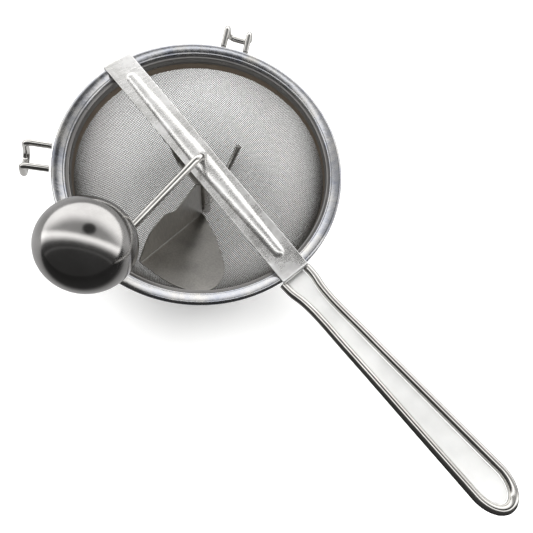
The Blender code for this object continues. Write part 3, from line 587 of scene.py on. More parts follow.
# %% A drilled hole and a smooth table
def drilled(piece, name, start, end, radius):
    """Cuts a round hole with an exact Boolean and keeps the result as the piece's own mesh."""
    start, end = np.asarray(start, dtype=float), np.asarray(end, dtype=float)
    path = start + (end - start) * np.linspace(0, 1, 4)[:, None]
    cutter = bpy.data.objects.new(name, wire(name, path, radius, 48, dome=0.0))
    bpy.context.scene.collection.objects.link(cutter)
    step = piece.modifiers.new(name, "BOOLEAN")
    step.operation = "DIFFERENCE"
    step.solver = "EXACT"
    step.object = cutter
    whole = piece.evaluated_get(bpy.context.evaluated_depsgraph_get())
    cut_mesh = bpy.data.meshes.new_from_object(whole)
    piece.modifiers.remove(step)
    old = piece.data
    piece.data = cut_mesh
    cut_mesh.name = old.name
    bpy.data.meshes.remove(old)
    bpy.data.objects.remove(cutter, do_unlink=True)


def smooth_table(rows, place_on):
    """A cubic through each pair of rows that meets the next with the same slope.

    Between two rows, t goes from 0 to 1. The value is (1-w) of the first row and w of the second, with
    w = 3t^2 - 2t^3, plus t^3 - 2t^2 + t times the slope that leaves and t^3 - t^2 times the one that comes.
    """
    rows = np.asarray(rows, dtype=float)
    slope = np.gradient(rows[:, 1], rows[:, 0])
    place_on = np.clip(place_on, rows[0, 0], rows[-1, 0])
    number = np.clip(np.searchsorted(rows[:, 0], place_on) - 1, 0, len(rows) - 2)
    width = rows[number + 1, 0] - rows[number, 0]
    t = (place_on - rows[number, 0]) / width
    leave = (t ** 3 - 2 * t ** 2 + t) * width * slope[number]
    arrive = (t ** 3 - t ** 2) * width * slope[number + 1]
    turn = 3 * t ** 2 - 2 * t ** 3
    return (1 - turn) * rows[number, 1] + leave + turn * rows[number + 1, 1] + arrive


print("halfway through a table of 0, 1, 1:", smooth_table([(0, 0), (1, 1), (2, 1)], 1.0))

# %% [markdown]
# ## The rim
# The rim is one pressed sheet. Its edge is rolled outward and under into a tube, so that it is stiff and
# has no sharp lip. Inside the roll the sheet falls as a gently crowned flange, turns down over a small
# radius, and ends as the collar that grips the mesh. One line follows the middle of the sheet.

# %% The rim's profile, turned
FLANGE_FALL = 0.0021
FLANGE_CROWN = 0.0003
INNER_TURN_R = 0.0012
COLLAR_DEPTH = 0.0120


def rim_line():
    """The roll's arc, the flange (a straight fall plus a parabola of the crown), the turn, the collar."""
    roll = arc((RIM_R - ROLL_R, RIM_Z), ROLL_R - SHEET / 2, -150, 90, 40)
    end_r = COLLAR_MID_R + INNER_TURN_R
    s = np.linspace(0, 1, 22)[1:-1]
    radius = roll[-1, 0] + (end_r - roll[-1, 0]) * s
    height = roll[-1, 1] - FLANGE_FALL * s + FLANGE_CROWN * 4 * s * (1 - s)
    turn_z = roll[-1, 1] - FLANGE_FALL - INNER_TURN_R
    inner_turn = arc((end_r, turn_z), INNER_TURN_R, 90, 180, 12)
    collar = np.stack([np.full(8, COLLAR_MID_R), np.linspace(turn_z, RIM_Z - COLLAR_DEPTH, 9)[1:]], axis=1)
    return np.vstack([roll, np.stack([radius, height], axis=1), inner_turn, collar])


place(turned("rim_edge", sheet_outline(rim_line(), SHEET), 288), "sieve",
      "spun_rim_steel", ["rim_ring"])

# %% [markdown]
# ## The clamp band
# A thin band inside the rim presses the edge of the mesh against the collar. Its top turns out over the
# cut ends of the wires. A shallow bead runs round its middle, where the press held it, and its lower edge
# leans in a little. A narrow profile turned round the axis gives all of this in one surface.

# %% The band's profile, turned
BAND_SHEET = 0.0007
BAND_DROP = 0.0018
BAND_HEIGHT = 0.0112
BAND_TURN_R = 0.0005
BEAD_DROP, BEAD_RISE, BEAD_WIDTH = 0.0067, 0.00035, 0.0007
FLARE_DROP, FLARE_HEIGHT, FLARE_IN = 0.0105, 0.0025, 0.00022


def band_line():
    """A lip, a small turn, and a wall whose radius is less by the bead, a bell curve, and by the flare.

    The flare grows with the square of the drop below its start, and stops growing at its height.
    """
    lip_z = RIM_Z - BAND_DROP - BAND_SHEET / 2
    wall_r = BOWL_R - GAP - BAND_SHEET / 2
    turn = arc((wall_r + BAND_TURN_R, lip_z - BAND_TURN_R), BAND_TURN_R, 90, 180, 6)
    past_turn = BAND_TURN_R + 0.0002
    lip = np.stack([np.linspace(BOWL_R + MESH_WALL, wall_r + past_turn, 3), np.full(3, lip_z)], axis=1)
    z = np.linspace(lip_z - past_turn, RIM_Z - BAND_DROP - BAND_HEIGHT, 40)
    bead = BEAD_RISE * np.exp(-((z - (RIM_Z - BEAD_DROP)) / BEAD_WIDTH) ** 2)
    flare = FLARE_IN * np.clip((RIM_Z - FLARE_DROP - z) / FLARE_HEIGHT, 0, 1) ** 2
    return np.vstack([lip, turn, np.stack([wall_r - bead - flare, z], axis=1)])


place(turned("mesh_clamp_band", sheet_outline(band_line(), BAND_SHEET), 256), "sieve",
      "band_steel_painted_shade", ["mesh_band"])

# %% [markdown]
# ## The woven bowl
# The bowl is a disc of plain woven wire cloth, drawn into a bowl over a form. So the cloth is laid out
# flat first: warp wires run one way and weft wires the other, each over one and under the next. A point
# of the flat cloth at distance s from the centre goes to where the bowl's curve is s long. The wires
# therefore run closer together near the rim, as in real drawn cloth. The real weave is about twice as
# fine. It is drawn at this pitch because a finer one is lost between two pixels.

# %% The bowl's curve and its length
WEAVE_PITCH = 0.00146
WIRE_R = 0.00028
WEAVE_RISE = 0.00012
CLOTH_TOP_DROP = 0.0030


def bowl_curve(count=600):
    """A flat bottom, a quarter of an ellipse and a straight wall, as radius, height and length so far.

    On the ellipse, radius = flat + wide cos t and height = start of the wall - deep sin t.
    """
    wide = BOWL_R + MESH_WALL / 2 - BOWL_FLAT_R
    deep = BOWL_DEPTH + MESH_WALL / 2 - BOWL_STRAIGHT
    t = np.linspace(math.pi / 2, 0, count)
    radius = np.concatenate([[0.0], BOWL_FLAT_R + wide * np.cos(t), [BOWL_FLAT_R + wide]])
    below_wall = np.concatenate([[deep], deep * np.sin(t), [CLOTH_TOP_DROP - BOWL_STRAIGHT]])
    height = RIM_Z - BOWL_STRAIGHT - below_wall
    length = np.concatenate([[0.0], np.cumsum(np.hypot(np.diff(radius), np.diff(height)))])
    return radius, height, length


curve_r, curve_z, curve_s = bowl_curve()
cloth_r = curve_s[-1]
print("the cloth's disc is", round(cloth_r * 2000, 1), "mm wide")

# %% [markdown]
# ### Wires over and under
# A texture with holes would be quicker, but it looks flat from the side and is no shape to export. So each
# wire is real. It has three sides, which is enough for a wire about a pixel wide, and the whole cloth is
# still one array of crossings.

# %% Warp and weft as whole arrays of crossings
def bowl_point(u, v):
    """Flat (u, v) goes to radius, height and outward normal at length hypot(u, v) of the bowl's curve."""
    s = np.hypot(u, v)
    safe = np.maximum(s, 1e-9)
    inside = np.minimum(s, cloth_r)
    radius = np.interp(inside, curve_s, curve_r)
    height = np.interp(inside, curve_s, curve_z)
    slope_r = np.interp(inside, curve_s, np.gradient(curve_r, curve_s))
    slope_z = np.interp(inside, curve_s, np.gradient(curve_z, curve_s))
    point = np.stack([radius * u / safe, radius * v / safe, height], axis=-1)
    normal = np.stack([slope_z * u / safe, slope_z * v / safe, -slope_r], axis=-1)
    return point, normal / np.linalg.norm(normal, axis=-1, keepdims=True)


def cloth_wires(name, along_x, phase):
    """Each crossing is a point raised or sunk in turn. Three points round it make a fine closed wire."""
    count = int(2 * cloth_r / WEAVE_PITCH)
    marks = (np.arange(count + 2) - (count + 1) / 2) * WEAVE_PITCH
    lane, run = np.meshgrid(marks, marks, indexing="ij")
    outside = np.hypot(lane, run) > cloth_r
    edge = np.sqrt(np.maximum(cloth_r ** 2 - lane ** 2, 0.0))
    run = np.clip(run, -edge, edge)
    u, v = (run, lane) if along_x else (lane, run)
    point, normal = bowl_point(u, v)
    row, column = np.indices(lane.shape)
    sign = np.where((row + column + phase) % 2, 1.0, -1.0)[..., None]
    centre = point + normal * sign * WEAVE_RISE
    ahead = np.gradient(point, axis=1)
    across = np.cross(normal, ahead)
    across /= np.maximum(np.linalg.norm(across, axis=-1, keepdims=True), 1e-9)
    angle = math.tau * np.arange(3) / 3 + math.pi / 2
    ring = (centre[:, :, None] + WIRE_R * (normal[:, :, None] * np.sin(angle)[:, None]
                                           + across[:, :, None] * np.cos(angle)[:, None]))
    index = np.arange(ring.size // 3).reshape(ring.shape[:3])
    live = ~(outside[:, :-1] & outside[:, 1:]) & (np.abs(lane[:, 1:]) < cloth_r)
    following = np.roll(index, -1, axis=2)
    faces = np.stack([index[:, :-1], index[:, 1:], following[:, 1:], following[:, :-1]], axis=-1)[live]
    first = live & ~np.pad(live, ((0, 0), (1, 0)))[:, :-1]
    last = live & ~np.pad(live, ((0, 0), (0, 1)))[:, 1:]
    caps = np.vstack([index[:, :-1][first][:, [0, 1, 2]], index[:, 1:][last][:, [2, 1, 0]]])
    quads = faces.reshape(-1, 4)
    used = np.unique(np.concatenate([quads.ravel(), caps.ravel()]))
    renumber = np.zeros(index.size, dtype=int)
    renumber[used] = np.arange(len(used))
    mesh = bpy.data.meshes.new(name)
    mesh.from_pydata(ring.reshape(-1, 3)[used].tolist(), [],
                     renumber[quads].tolist() + renumber[caps].tolist())
    print(name, len(quads) * 2 + len(caps), "triangles")
    return mesh


place(cloth_wires("bowl_mesh_warp", True, 0), "sieve", "woven_stainless_wire",
      ["mesh_bowl"])
place(cloth_wires("bowl_mesh_weft", False, 1), "sieve", "woven_stainless_wire")

# %% [markdown]
# ## The bridge
# The bridge is a pressed bar of 1.2 mm sheet. A rounded rib, widest at the crank, stiffens it, and its
# ends turn down over the rim. The rib is a lift of the flat bar: a half ellipse across, and at each end
# a quarter of an ellipse that lets it run out in a rounded nose.

# %% The bar with its rib, bent ends and the shaft's hole
RIB_HEIGHT = 0.0030
RIB_HALF_LENGTH = 0.0860
RIB_MID_HALF = 0.0070
RIB_END_HALF = 0.00435
NOSE_LENGTH = 0.0060
FLAT_STATIONS = np.array([-0.0955, -0.0905, -0.0864, -0.08612])
THINNEST_RIB = 0.0004
BESIDE_RIB = np.array([1.0, 0.7, 0.4, 0.15, 0.03])
BEND_R = 0.0016
TAB_DROP_FAR = 0.0056
TAB_DROP_NEAR = 0.0028
SHAFT_HOLE_PLAY = 0.0005


def bridge_line():
    """Up the far tab, round its bend, along the flat and down the near tab, at the sheet's middle.

    Stations crowd towards the rib's noses, at nose length times 1 - sin a from each tip.
    """
    face = RIM_R + GAP + BRIDGE_SHEET / 2
    middle_z = BRIDGE_UNDER_Z + BRIDGE_SHEET / 2
    top_z = BRIDGE_UNDER_Z + BRIDGE_SHEET
    tab = np.array([(-face, top_z - TAB_DROP_FAR), (-face, (top_z - TAB_DROP_FAR + middle_z - BEND_R) / 2)])
    nose = RIB_HALF_LENGTH - NOSE_LENGTH * (1 - np.sin(np.linspace(0, math.pi / 2, 26)))
    between = RIB_HALF_LENGTH - NOSE_LENGTH - 0.0005
    flat = np.concatenate([-nose[::-1], np.linspace(-between, between, 90), nose])
    flat = np.concatenate([FLAT_STATIONS, flat, -FLAT_STATIONS[::-1]])
    return np.vstack([
        tab, arc((-face + BEND_R, middle_z - BEND_R), BEND_R, 180, 90, 9),
        np.stack([flat, np.full(len(flat), middle_z)], axis=1),
        arc((face - BEND_R, middle_z - BEND_R), BEND_R, 90, 0, 9),
        [(face, (top_z - TAB_DROP_NEAR + middle_z - BEND_R) / 2), (face, top_z - TAB_DROP_NEAR)]])


def bridge_rib(line):
    """Shares across and lift: y = width cos a and z = height sin a on the rib, flat beside it."""
    distance = np.abs(line[:, 0])
    part = np.clip(distance / RIB_HALF_LENGTH, 0, 1)
    width = RIB_MID_HALF + (RIB_END_HALF - RIB_MID_HALF) * part
    past = np.clip((distance - (RIB_HALF_LENGTH - RIB_END_HALF)) / RIB_END_HALF, 0, 1)
    fade = np.sqrt(1 - past ** 2)
    fade[np.abs(line[:, 1] - (BRIDGE_UNDER_Z + BRIDGE_SHEET / 2)) > 1e-6] = 0
    width = np.maximum(width * fade, THINNEST_RIB)
    angle = np.linspace(math.pi, 0, 25)
    rib_y = width[:, None] * np.cos(angle)
    rib_z = RIB_HEIGHT * fade[:, None] * np.sin(angle)
    inner = BRIDGE_HALF - BRIDGE_SHEET / 2
    foot = width[:, None] + (inner - width[:, None]) * BESIDE_RIB
    y = np.hstack([-foot, rib_y, foot[:, ::-1]])
    lift = np.hstack([np.zeros(foot.shape), rib_z, np.zeros(foot.shape)])
    return y / inner, lift


bar_line = bridge_line()
bar_shares, rib_lift = bridge_rib(bar_line)
bar_half = np.full(len(bar_line), BRIDGE_HALF)
bridge = place(strip("bridge_bar_pressed", bar_line, bar_half, BRIDGE_SHEET, bar_shares, rib_lift),
               "sieve", "brushed_bridge_steel", ["bridge_bar"])
drilled(bridge, "shaft_hole_cutter", (0, 0, 0.080), (0, 0, 0.100), SHAFT_R + SHAFT_HOLE_PLAY)
even_shading(bridge)

# %% [markdown]
# ## The bearing strip
# Below the bridge a cranked strip carries the shaft's lower bearing. It is bent from the same width of
# sheet, and the corners of its free end are cut round: the half width falls as a quarter circle does.

# %% The cranked strip
BRACKET_SHEET = 0.0015
BRACKET_BEND_R = 0.0018
TONGUE_Z = 0.07455
TONGUE_END_X = 0.0080
TONGUE_CORNER_R = 0.0060
BORE_R = SHAFT_R + GAP
BUSH_WALL = 0.0012
flange_z = BRIDGE_UNDER_Z - GAP - BRACKET_SHEET / 2
bracket_corners = [(-0.0360, 0, flange_z), (-0.0240, 0, flange_z), (-0.0164, 0, TONGUE_Z),
                   (TONGUE_END_X, 0, TONGUE_Z)]
bracket_bends = bent_line(bracket_corners, [BRACKET_BEND_R, BRACKET_BEND_R])[:-1, [0, 2]]
corner_turn = np.linspace(0, math.pi / 2, 14)[1:]
corner_x = TONGUE_END_X - TONGUE_CORNER_R
tongue_x = np.concatenate([np.linspace(bracket_bends[-1, 0] + 0.003, corner_x, 12),
                           corner_x + TONGUE_CORNER_R * np.sin(corner_turn)])
bracket_line = np.vstack([bracket_bends, np.c_[tongue_x, np.full(len(tongue_x), TONGUE_Z)]])
bracket_half = np.full(len(bracket_line), BRIDGE_HALF)
bracket_half[-len(corner_turn):] -= TONGUE_CORNER_R * (1 - np.cos(corner_turn))
bracket = place(strip("bearing_strip", bracket_line, bracket_half, BRACKET_SHEET, np.linspace(-1, 1, 15)),
                "sieve", "satin_blade_steel", ["bearing_bracket"])
drilled(bracket, "bush_hole_cutter", (0, 0, 0.070), (0, 0, 0.080), BORE_R + BUSH_WALL + GAP)
even_shading(bracket)

# %% [markdown]
# ### Bush, washer and collar
# The shaft turns in a flanged brass bush in the strip's tongue. A washer takes the wear on top of it, and
# a collar on the shaft keeps the crank from being pulled out. All three are turned, so each is an outline
# with its corners softened by 0.15 mm, carried once round the axis.

# %% Parts from the lathe
BUSH_FLANGE = 0.0008
BUSH_FLANGE_R = 0.0056
BUSH_STANDS_OUT = 0.0005
WASHER_R = 0.0060
WASHER_SHEET = 0.0008
COLLAR_R = 0.0050
COLLAR_HEIGHT = 0.0060


def lathe_part(name, corners, body, finish, solid, centre=(0.0, 0.0, 0.0), soft=0.00015):
    """A closed outline of (radius, height) corners, softened and turned on the lathe."""
    mesh = turned(name, soft_corners(corners, soft), 64, centre)
    even_shading(place(mesh, body, finish, [solid]))


def ring(inner, outer, low, high):
    """The four corners of a ring's section."""
    return [(inner, low), (outer, low), (outer, high), (inner, high)]


bush_r = BORE_R + BUSH_WALL
flange_top = TONGUE_Z - BRACKET_SHEET / 2 - GAP
flange_low = flange_top - BUSH_FLANGE
bush_top = TONGUE_Z + BRACKET_SHEET / 2 + BUSH_STANDS_OUT
lathe_part("bearing_bush", [
    (BORE_R, flange_low), (BUSH_FLANGE_R, flange_low), (BUSH_FLANGE_R, flange_top),
    (bush_r, flange_top), (bush_r, bush_top), (BORE_R, bush_top)],
    "sieve", "turned_brass", "lower_bushing")
lathe_part("thrust_washer_turned", ring(BORE_R, WASHER_R, bush_top + GAP, bush_top + GAP + WASHER_SHEET),
           "sieve", "satin_pin_steel", "thrust_washer")
collar_z = bush_top + GAP + WASHER_SHEET + GAP
lathe_part("shaft_collar", ring(BORE_R, COLLAR_R, collar_z, collar_z + COLLAR_HEIGHT),
           "crank", "satin_pin_steel", "retaining_collar")

# %% [markdown]
# ## The crank
# One rod makes the shaft, the arm and the spindle. It is bent twice on a pin, so each bend is an arc of
# the pin's radius.

# %% The bent rod
SHAFT_FOOT_DROP = 0.0760
SPINDLE_TOP_Z = 0.1477
SHAFT_BEND_R = 0.0080
shaft_foot = (0.0, 0.0, RIM_Z - SHAFT_FOOT_DROP)
crank_corners = [shaft_foot, (0.0, 0.0, ARM_Z), ARM_END + (0.0, 0.0, ARM_Z),
                 ARM_END + (0.0, 0.0, SPINDLE_TOP_Z)]
crank_line = bent_line(crank_corners, [SHAFT_BEND_R, SPINDLE_BEND_R], 4.0)
place(wire("crank_rod_bent", crank_line, SHAFT_R, 32), "crank", "bright_drawn_wire",
      ["crank_rod"])

# %% [markdown]
# ### Cross pins
# A pin through the collar and one through the hub fix them to the shaft. The hub's pin shows its domed
# end as a small bright dot.

# %% Two cross pins
PIN_AZIMUTH = math.radians(15.0)
COLLAR_PIN_R, COLLAR_PIN_HALF = 0.0008, 0.0052
HUB_PIN_R, HUB_PIN_DROP, HUB_PIN_PROUD = 0.0010, 0.0680, 0.0002


def cross_pin(name, half_length, height, radius, solid):
    """A short pin through the shaft's axis, with low domes at both ends."""
    along = np.array([math.cos(PIN_AZIMUTH), math.sin(PIN_AZIMUTH), 0.0])
    path = along * np.linspace(-half_length, half_length, 5)[:, None] + (0.0, 0.0, height)
    place(wire(name, path, radius, 20, 0.3), "crank", "satin_pin_steel", [solid])


cross_pin("collar_cross_pin", COLLAR_PIN_HALF, collar_z + COLLAR_HEIGHT / 2, COLLAR_PIN_R, "collar_pin")
cross_pin("hub_cross_pin", HUB_R + HUB_PIN_PROUD, RIM_Z - HUB_PIN_DROP, HUB_PIN_R, "hub_pin")

# %% [markdown]
# ## The hub
# A closed tube fits over the shaft's lower end and is pinned to it. The paddle and the scraper bar are
# welded to this tube. Its foot is rounded, so it can't catch in the mesh. It is turned like the bush, but
# its outline starts and ends on the axis, so the surface closes there.

# %% The hub, turned
HUB_FOOT_DROP = 0.0826
HUB_FOOT_R = 0.0018
HUB_EDGE_R = 0.0003
hub_low = RIM_Z - HUB_FOOT_DROP
hub_top = flange_low - GAP
hub_foot = arc((HUB_R - HUB_FOOT_R, hub_low + HUB_FOOT_R), HUB_FOOT_R, -90, 0, 8)
# Each softened corner has four points, and the mouth takes the two upper corners of its ring.
hub_mouth = soft_corners(ring(BORE_R, HUB_R, hub_top - 0.0010, hub_top), HUB_EDGE_R)[8:16]
bore_foot = shaft_foot[2] - GAP
hub_outline = np.vstack([[(0.0, hub_low)], hub_foot, hub_mouth, [(BORE_R, bore_foot), (0.0, bore_foot)]])
even_shading(place(turned("paddle_hub_tube", hub_outline, 64, closed=False), "crank",
                   "satin_hub_steel", ["paddle_hub"]))

# %% [markdown]
# ## The paddle
# The paddle is one sheet, folded along a sloping line that runs from the hub's foot out to the mesh. The
# upright wing stands almost under the crank arm. The lower wing lies back like a trowel and presses the
# food through. Each wing is ruled: straight lines run from the fold to its outline, so a grid covers it.
# A few more grid lines go round the sheet's edge, which the shear left nearly square.

# %% The outlines of the two wings
WING_AZIMUTH = math.radians(-73.0)
CORNER_AZIMUTH = math.radians(-27.0)
TRAIL_AZIMUTH = math.radians(-38.0)
ROOT_R = HUB_R + GAP + 0.0010
FOLD_TIP = (0.0776, 0.0280)
WING_TOP = ((0.0560, 0.0490), 0.0012)
WING_STEP_R = 0.0350
WING_LOW_DROP = 0.0155
WING_FOOT_DROP = 0.0760
WELD_CORNER, WELD_CORNER_IN = 0.0012, 0.0004
FOLD_FOOT_DROP = 0.0800
TROWEL_CORNER_R, TROWEL_CORNER_DROP = 0.0730, 0.0390
TRAIL_TURN, TRAIL_SHARE, TRAIL_END_R = 1.098, 0.382, 0.0100
TIP_SHARES = ((0.0, 0.0), (0.045, 0.17), (0.19, 0.34), (0.47, 0.66), (0.745, 0.895), (1.0, 1.0))
STEP_SHARES = ((0.0, 0.0), (0.18, 0.05), (0.357, 0.20), (0.52, 0.41), (0.68, 0.63), (0.84, 0.85), (1.0, 1.0))
TROWEL_SHARES = (
    (0.0, 0.8584), (0.174, 0.874), (0.391, 0.916), (0.50, 0.934), (0.60, 0.945), (0.739, 0.948),
    (0.82, 0.934), (0.885, 0.905), (0.946, 0.860), (1.000, 0.806), (1.048, 0.740), (1.076, 0.680))


def polar(radius, azimuth, height):
    """Radius, azimuth and height to the 3D point (r cos a, r sin a, z)."""
    return np.stack(np.broadcast_arrays(
        radius * np.cos(azimuth), radius * np.sin(azimuth), np.asarray(height, dtype=float)), axis=-1)


def even_steps(points, count):
    """Moves along a line of points in steps of the same length."""
    points = np.asarray(points, dtype=float)
    length = np.concatenate([[0.0], np.cumsum(np.linalg.norm(np.diff(points, axis=0), axis=1))])
    wanted = np.linspace(0, length[-1], count)
    return np.stack([np.interp(wanted, length, column) for column in points.T], axis=1)


def upright_outline(count):
    """From the fold's tip up the rounded nose, over the top, down the step and down the hub.

    The nose and the step each follow a table of shares of their run and of their rise or fall.
    """
    (outer_r, inner_r), top = WING_TOP
    t = np.linspace(0, 1, 40)
    nose_along, nose_up = (smooth_table(np.c_[np.linspace(0, 1, len(TIP_SHARES)), shares], t)
                           for shares in np.array(TIP_SHARES).T)
    tip_r, tip_drop = FOLD_TIP
    nose = np.c_[tip_r - (tip_r - outer_r) * nose_along, tip_drop - (tip_drop - top) * nose_up]
    step_in, step_down = (smooth_table(np.c_[np.linspace(0, 1, len(STEP_SHARES)), shares], t)
                          for shares in np.array(STEP_SHARES).T)
    down = np.c_[inner_r - (inner_r - WING_STEP_R) * step_in, top + (WING_LOW_DROP - top) * step_down]
    weld_r = HUB_R + GAP
    rest = [(weld_r + WELD_CORNER, WING_LOW_DROP), (weld_r + WELD_CORNER_IN, WING_LOW_DROP + WELD_CORNER_IN),
            (weld_r, WING_LOW_DROP + WELD_CORNER), (weld_r, WING_FOOT_DROP), (ROOT_R, FOLD_FOOT_DROP)]
    flat = even_steps(np.vstack([nose, down, rest]), count)
    return polar(flat[:, 0], WING_AZIMUTH, RIM_Z - flat[:, 1])


fold_foot = polar(ROOT_R, WING_AZIMUTH, RIM_Z - FOLD_FOOT_DROP)
fold_tip = polar(FOLD_TIP[0], WING_AZIMUTH, RIM_Z - FOLD_TIP[1])
corner = polar(TROWEL_CORNER_R, CORNER_AZIMUTH, RIM_Z - TROWEL_CORNER_DROP)
upright_normal = np.array([-math.sin(WING_AZIMUTH), math.cos(WING_AZIMUTH), 0.0])
trowel_normal = np.cross(fold_tip - fold_foot, corner - fold_foot)
trowel_normal /= np.linalg.norm(trowel_normal)


def trowel_outline(count):
    """Radii and azimuths of the curved edge, set on the plane through the fold and the named corner.

    A table gives shares of the opening angle and of the bowl's radius. On the plane with the normal n,
    height = that of the fold's foot - (n_x dx + n_y dy) / n_z.
    """
    rows = np.array(TROWEL_SHARES)
    t = np.linspace(0, 1, 160)
    knots = np.linspace(0, 1, len(rows))
    turn = smooth_table(np.c_[knots, rows[:, 0]], t)
    reach = smooth_table(np.c_[knots, rows[:, 1]], t) * BOWL_R
    opening = CORNER_AZIMUTH - WING_AZIMUTH
    flat = np.vstack([
        polar(reach, WING_AZIMUTH + opening * turn, 0.0),
        polar(BOWL_R * TRAIL_SHARE, WING_AZIMUTH + opening * TRAIL_TURN, 0.0),
        polar(TRAIL_END_R, TRAIL_AZIMUTH, 0.0)])
    offset = flat[:, :2] - fold_foot[:2]
    flat[:, 2] = fold_foot[2] - offset @ trowel_normal[:2] / trowel_normal[2]
    return even_steps(np.vstack([fold_tip, flat, fold_foot]), count)


print("fold is", round(float(np.linalg.norm(fold_tip - fold_foot)) * 1000, 1), "mm long")

# %% [markdown]
# ### One sheet with a fold
# Two plates set edge to edge would show a crack along the fold. So one grid runs from the upright wing
# over the rounded fold to the trowel, round its edge, and back along the second face.

# %% The folded sheet as one closed grid
BLADE_SHEET = 0.0010
FOLD_REACH, FOLD_SHARE = 0.0022, 0.6
SHEARED = 0.4
FROM_TIP = 0.004
OUTLINE_POINTS = 900


def sheared_edge(outline, inward, normal):
    """Round the edge: a squared half circle, cos and sin to the power 0.4, from one face to the other."""
    tangent = np.gradient(outline, axis=0)
    out = np.cross(tangent, normal)
    out /= np.linalg.norm(out, axis=1, keepdims=True)
    out *= np.sign(np.sum(out * -inward, axis=1, keepdims=True))
    angle = np.linspace(math.pi / 2, -math.pi / 2, 9)
    reach = (np.cos(angle) ** SHEARED)[None, 1:-1, None]
    rise = (np.sign(np.sin(angle)) * np.abs(np.sin(angle)) ** SHEARED)[None, 1:-1, None]
    half = BLADE_SHEET / 2
    return (outline - out * half)[:, None] + half * (out[:, None] * reach + normal * rise)


def folded_paddle(name, count=240):
    """Row i runs from one outline over the fold to the other, then back on the sheet's second face.

    Outline point i is tied to the fold's point at the same share of the way. The fold itself is a curve
    (1-t)^2 A + 2t(1-t) F + t^2 B through a point on each wing, and its normal turns with it. The rows
    start and end a little off the fold's own ends, where a row would have no length.
    """
    way = np.linspace(FROM_TIP, 1 - FROM_TIP, count)
    shares = np.linspace(0, 1, OUTLINE_POINTS + 1)
    edges = [even_steps(outline(OUTLINE_POINTS), OUTLINE_POINTS + 1)
             for outline in (upright_outline, trowel_outline)]
    upright, trowel = (np.stack([np.interp(way, shares, axis) for axis in edge.T], axis=1) for edge in edges)
    fold = fold_tip + (fold_foot - fold_tip) * way[:, None]
    half = BLADE_SHEET / 2
    legs = [edge - fold for edge in (upright, trowel)]
    sizes = [np.linalg.norm(leg, axis=1, keepdims=True) for leg in legs]
    near = [fold + leg / size * np.minimum(FOLD_REACH, size * FOLD_SHARE) for leg, size in zip(legs, sizes)]
    ends = [edge - leg / size * half for edge, leg, size in zip((upright, trowel), legs, sizes)]
    part = np.linspace(0, 1, 12)[None, :, None]
    first = ends[0][:, None] * (1 - part) + near[0][:, None] * part
    last = near[1][:, None] * (1 - part) + ends[1][:, None] * part
    t = np.linspace(0, 1, 9)[None, 1:-1, None]
    bend = (1 - t) ** 2 * near[0][:, None] + 2 * t * (1 - t) * fold[:, None] + t ** 2 * near[1][:, None]
    side = upright_normal * np.sign(np.dot(upright_normal, trowel[count // 2] - fold[count // 2]))
    over = trowel_normal * np.sign(np.dot(trowel_normal, upright[count // 2] - fold[count // 2]))
    turned_normal = side * (1 - t) + over * t
    turned_normal = turned_normal / np.linalg.norm(turned_normal, axis=-1, keepdims=True)
    middle = np.concatenate([first, bend, last], axis=1)
    normal = np.concatenate([np.broadcast_to(side, first.shape), np.broadcast_to(turned_normal, bend.shape),
                             np.broadcast_to(over, last.shape)], axis=1)
    edge_a = sheared_edge(upright, -legs[0], side)
    edge_b = sheared_edge(trowel, -legs[1], over)
    back = (middle - normal * half)[:, ::-1]
    rows = np.concatenate([middle + normal * half, edge_b, back, edge_a[:, ::-1]], axis=1)
    return grid_mesh(name, rows, close_columns=True)


paddle = place(folded_paddle("paddle_folded"), "crank", "satin_blade_steel", ["paddle_blade"])
even_shading(paddle)

# %% [markdown]
# ## The scraper bar
# On the other side of the hub a round bar follows the bowl's curve. It pushes back what the paddle left.
# Its curve is a part of the bowl's own ellipse, set inward, so its distance from the mesh hardly changes.

# %% The bar's curve
SCRAPER_R = 0.0025
SCRAPER_AZIMUTH = math.radians(113.5)
SCRAPER_CLEAR = 0.0025
SCRAPER_LEG_R, SCRAPER_FLAT_R = 0.0120, 0.0210
SCRAPER_TIP_R = 0.0612


def scraper_path():
    """Out from the hub along the bottom, then radius = flat + wide cos t, height = start - deep sin t."""
    inset = SCRAPER_CLEAR + SCRAPER_R
    wide = BOWL_R - inset - SCRAPER_FLAT_R
    deep = BOWL_DEPTH - inset - BOWL_STRAIGHT
    tip = math.acos((SCRAPER_TIP_R - SCRAPER_FLAT_R) / wide)
    t = np.linspace(math.pi / 2, tip, 46)
    radius = np.concatenate([[HUB_R + GAP, SCRAPER_LEG_R], SCRAPER_FLAT_R + wide * np.cos(t)])
    height = RIM_Z - BOWL_STRAIGHT - np.concatenate([[deep, deep], deep * np.sin(t)])
    return polar(radius, SCRAPER_AZIMUTH, height)


place(wire("scraper_rod", scraper_path(), SCRAPER_R, 28, 0.5), "crank",
      "bright_drawn_wire", ["scraper_bar"])

# %% [markdown]
# ## The ball knob
# The knob is a thin steel ball, spun in one piece with a mouth at the bottom where its sleeve goes in.
# It is the smoothest thing on the object, so it is drawn with many steps.

# %% The ball
BALL_WALL = 0.0010
SLEEVE_FLANGE_R = 0.0060
mouth_r = SLEEVE_FLANGE_R + GAP
inner_ball = BALL_R - BALL_WALL
outer_start = math.degrees(math.asin(mouth_r / BALL_R)) - 90
inner_start = math.degrees(math.asin(mouth_r / inner_ball)) - 90
outside = arc((0, BALL_Z), BALL_R, outer_start, 90, 72)
inside = arc((0, BALL_Z), inner_ball, 90, inner_start, 48)
outside[-1, 0] = inside[0, 0] = 0.0
ball_profile = np.vstack([outside, inside])
ball_mesh = turned("knob_ball_spun", ball_profile, 144, ARM_END * (1, 1, 0))
place(ball_mesh, "knob", "mirror_stainless_ball", ["knob_ball"])

# %% [markdown]
# ### Inside the ball
# The ball turns on a brass sleeve round the spindle. A washer parts the sleeve from the rod's bend, and a
# retainer on the spindle's top keeps the knob on. They stay out of sight, but the solid model has them, so
# they are dressed too, on the same lathe as the bush.

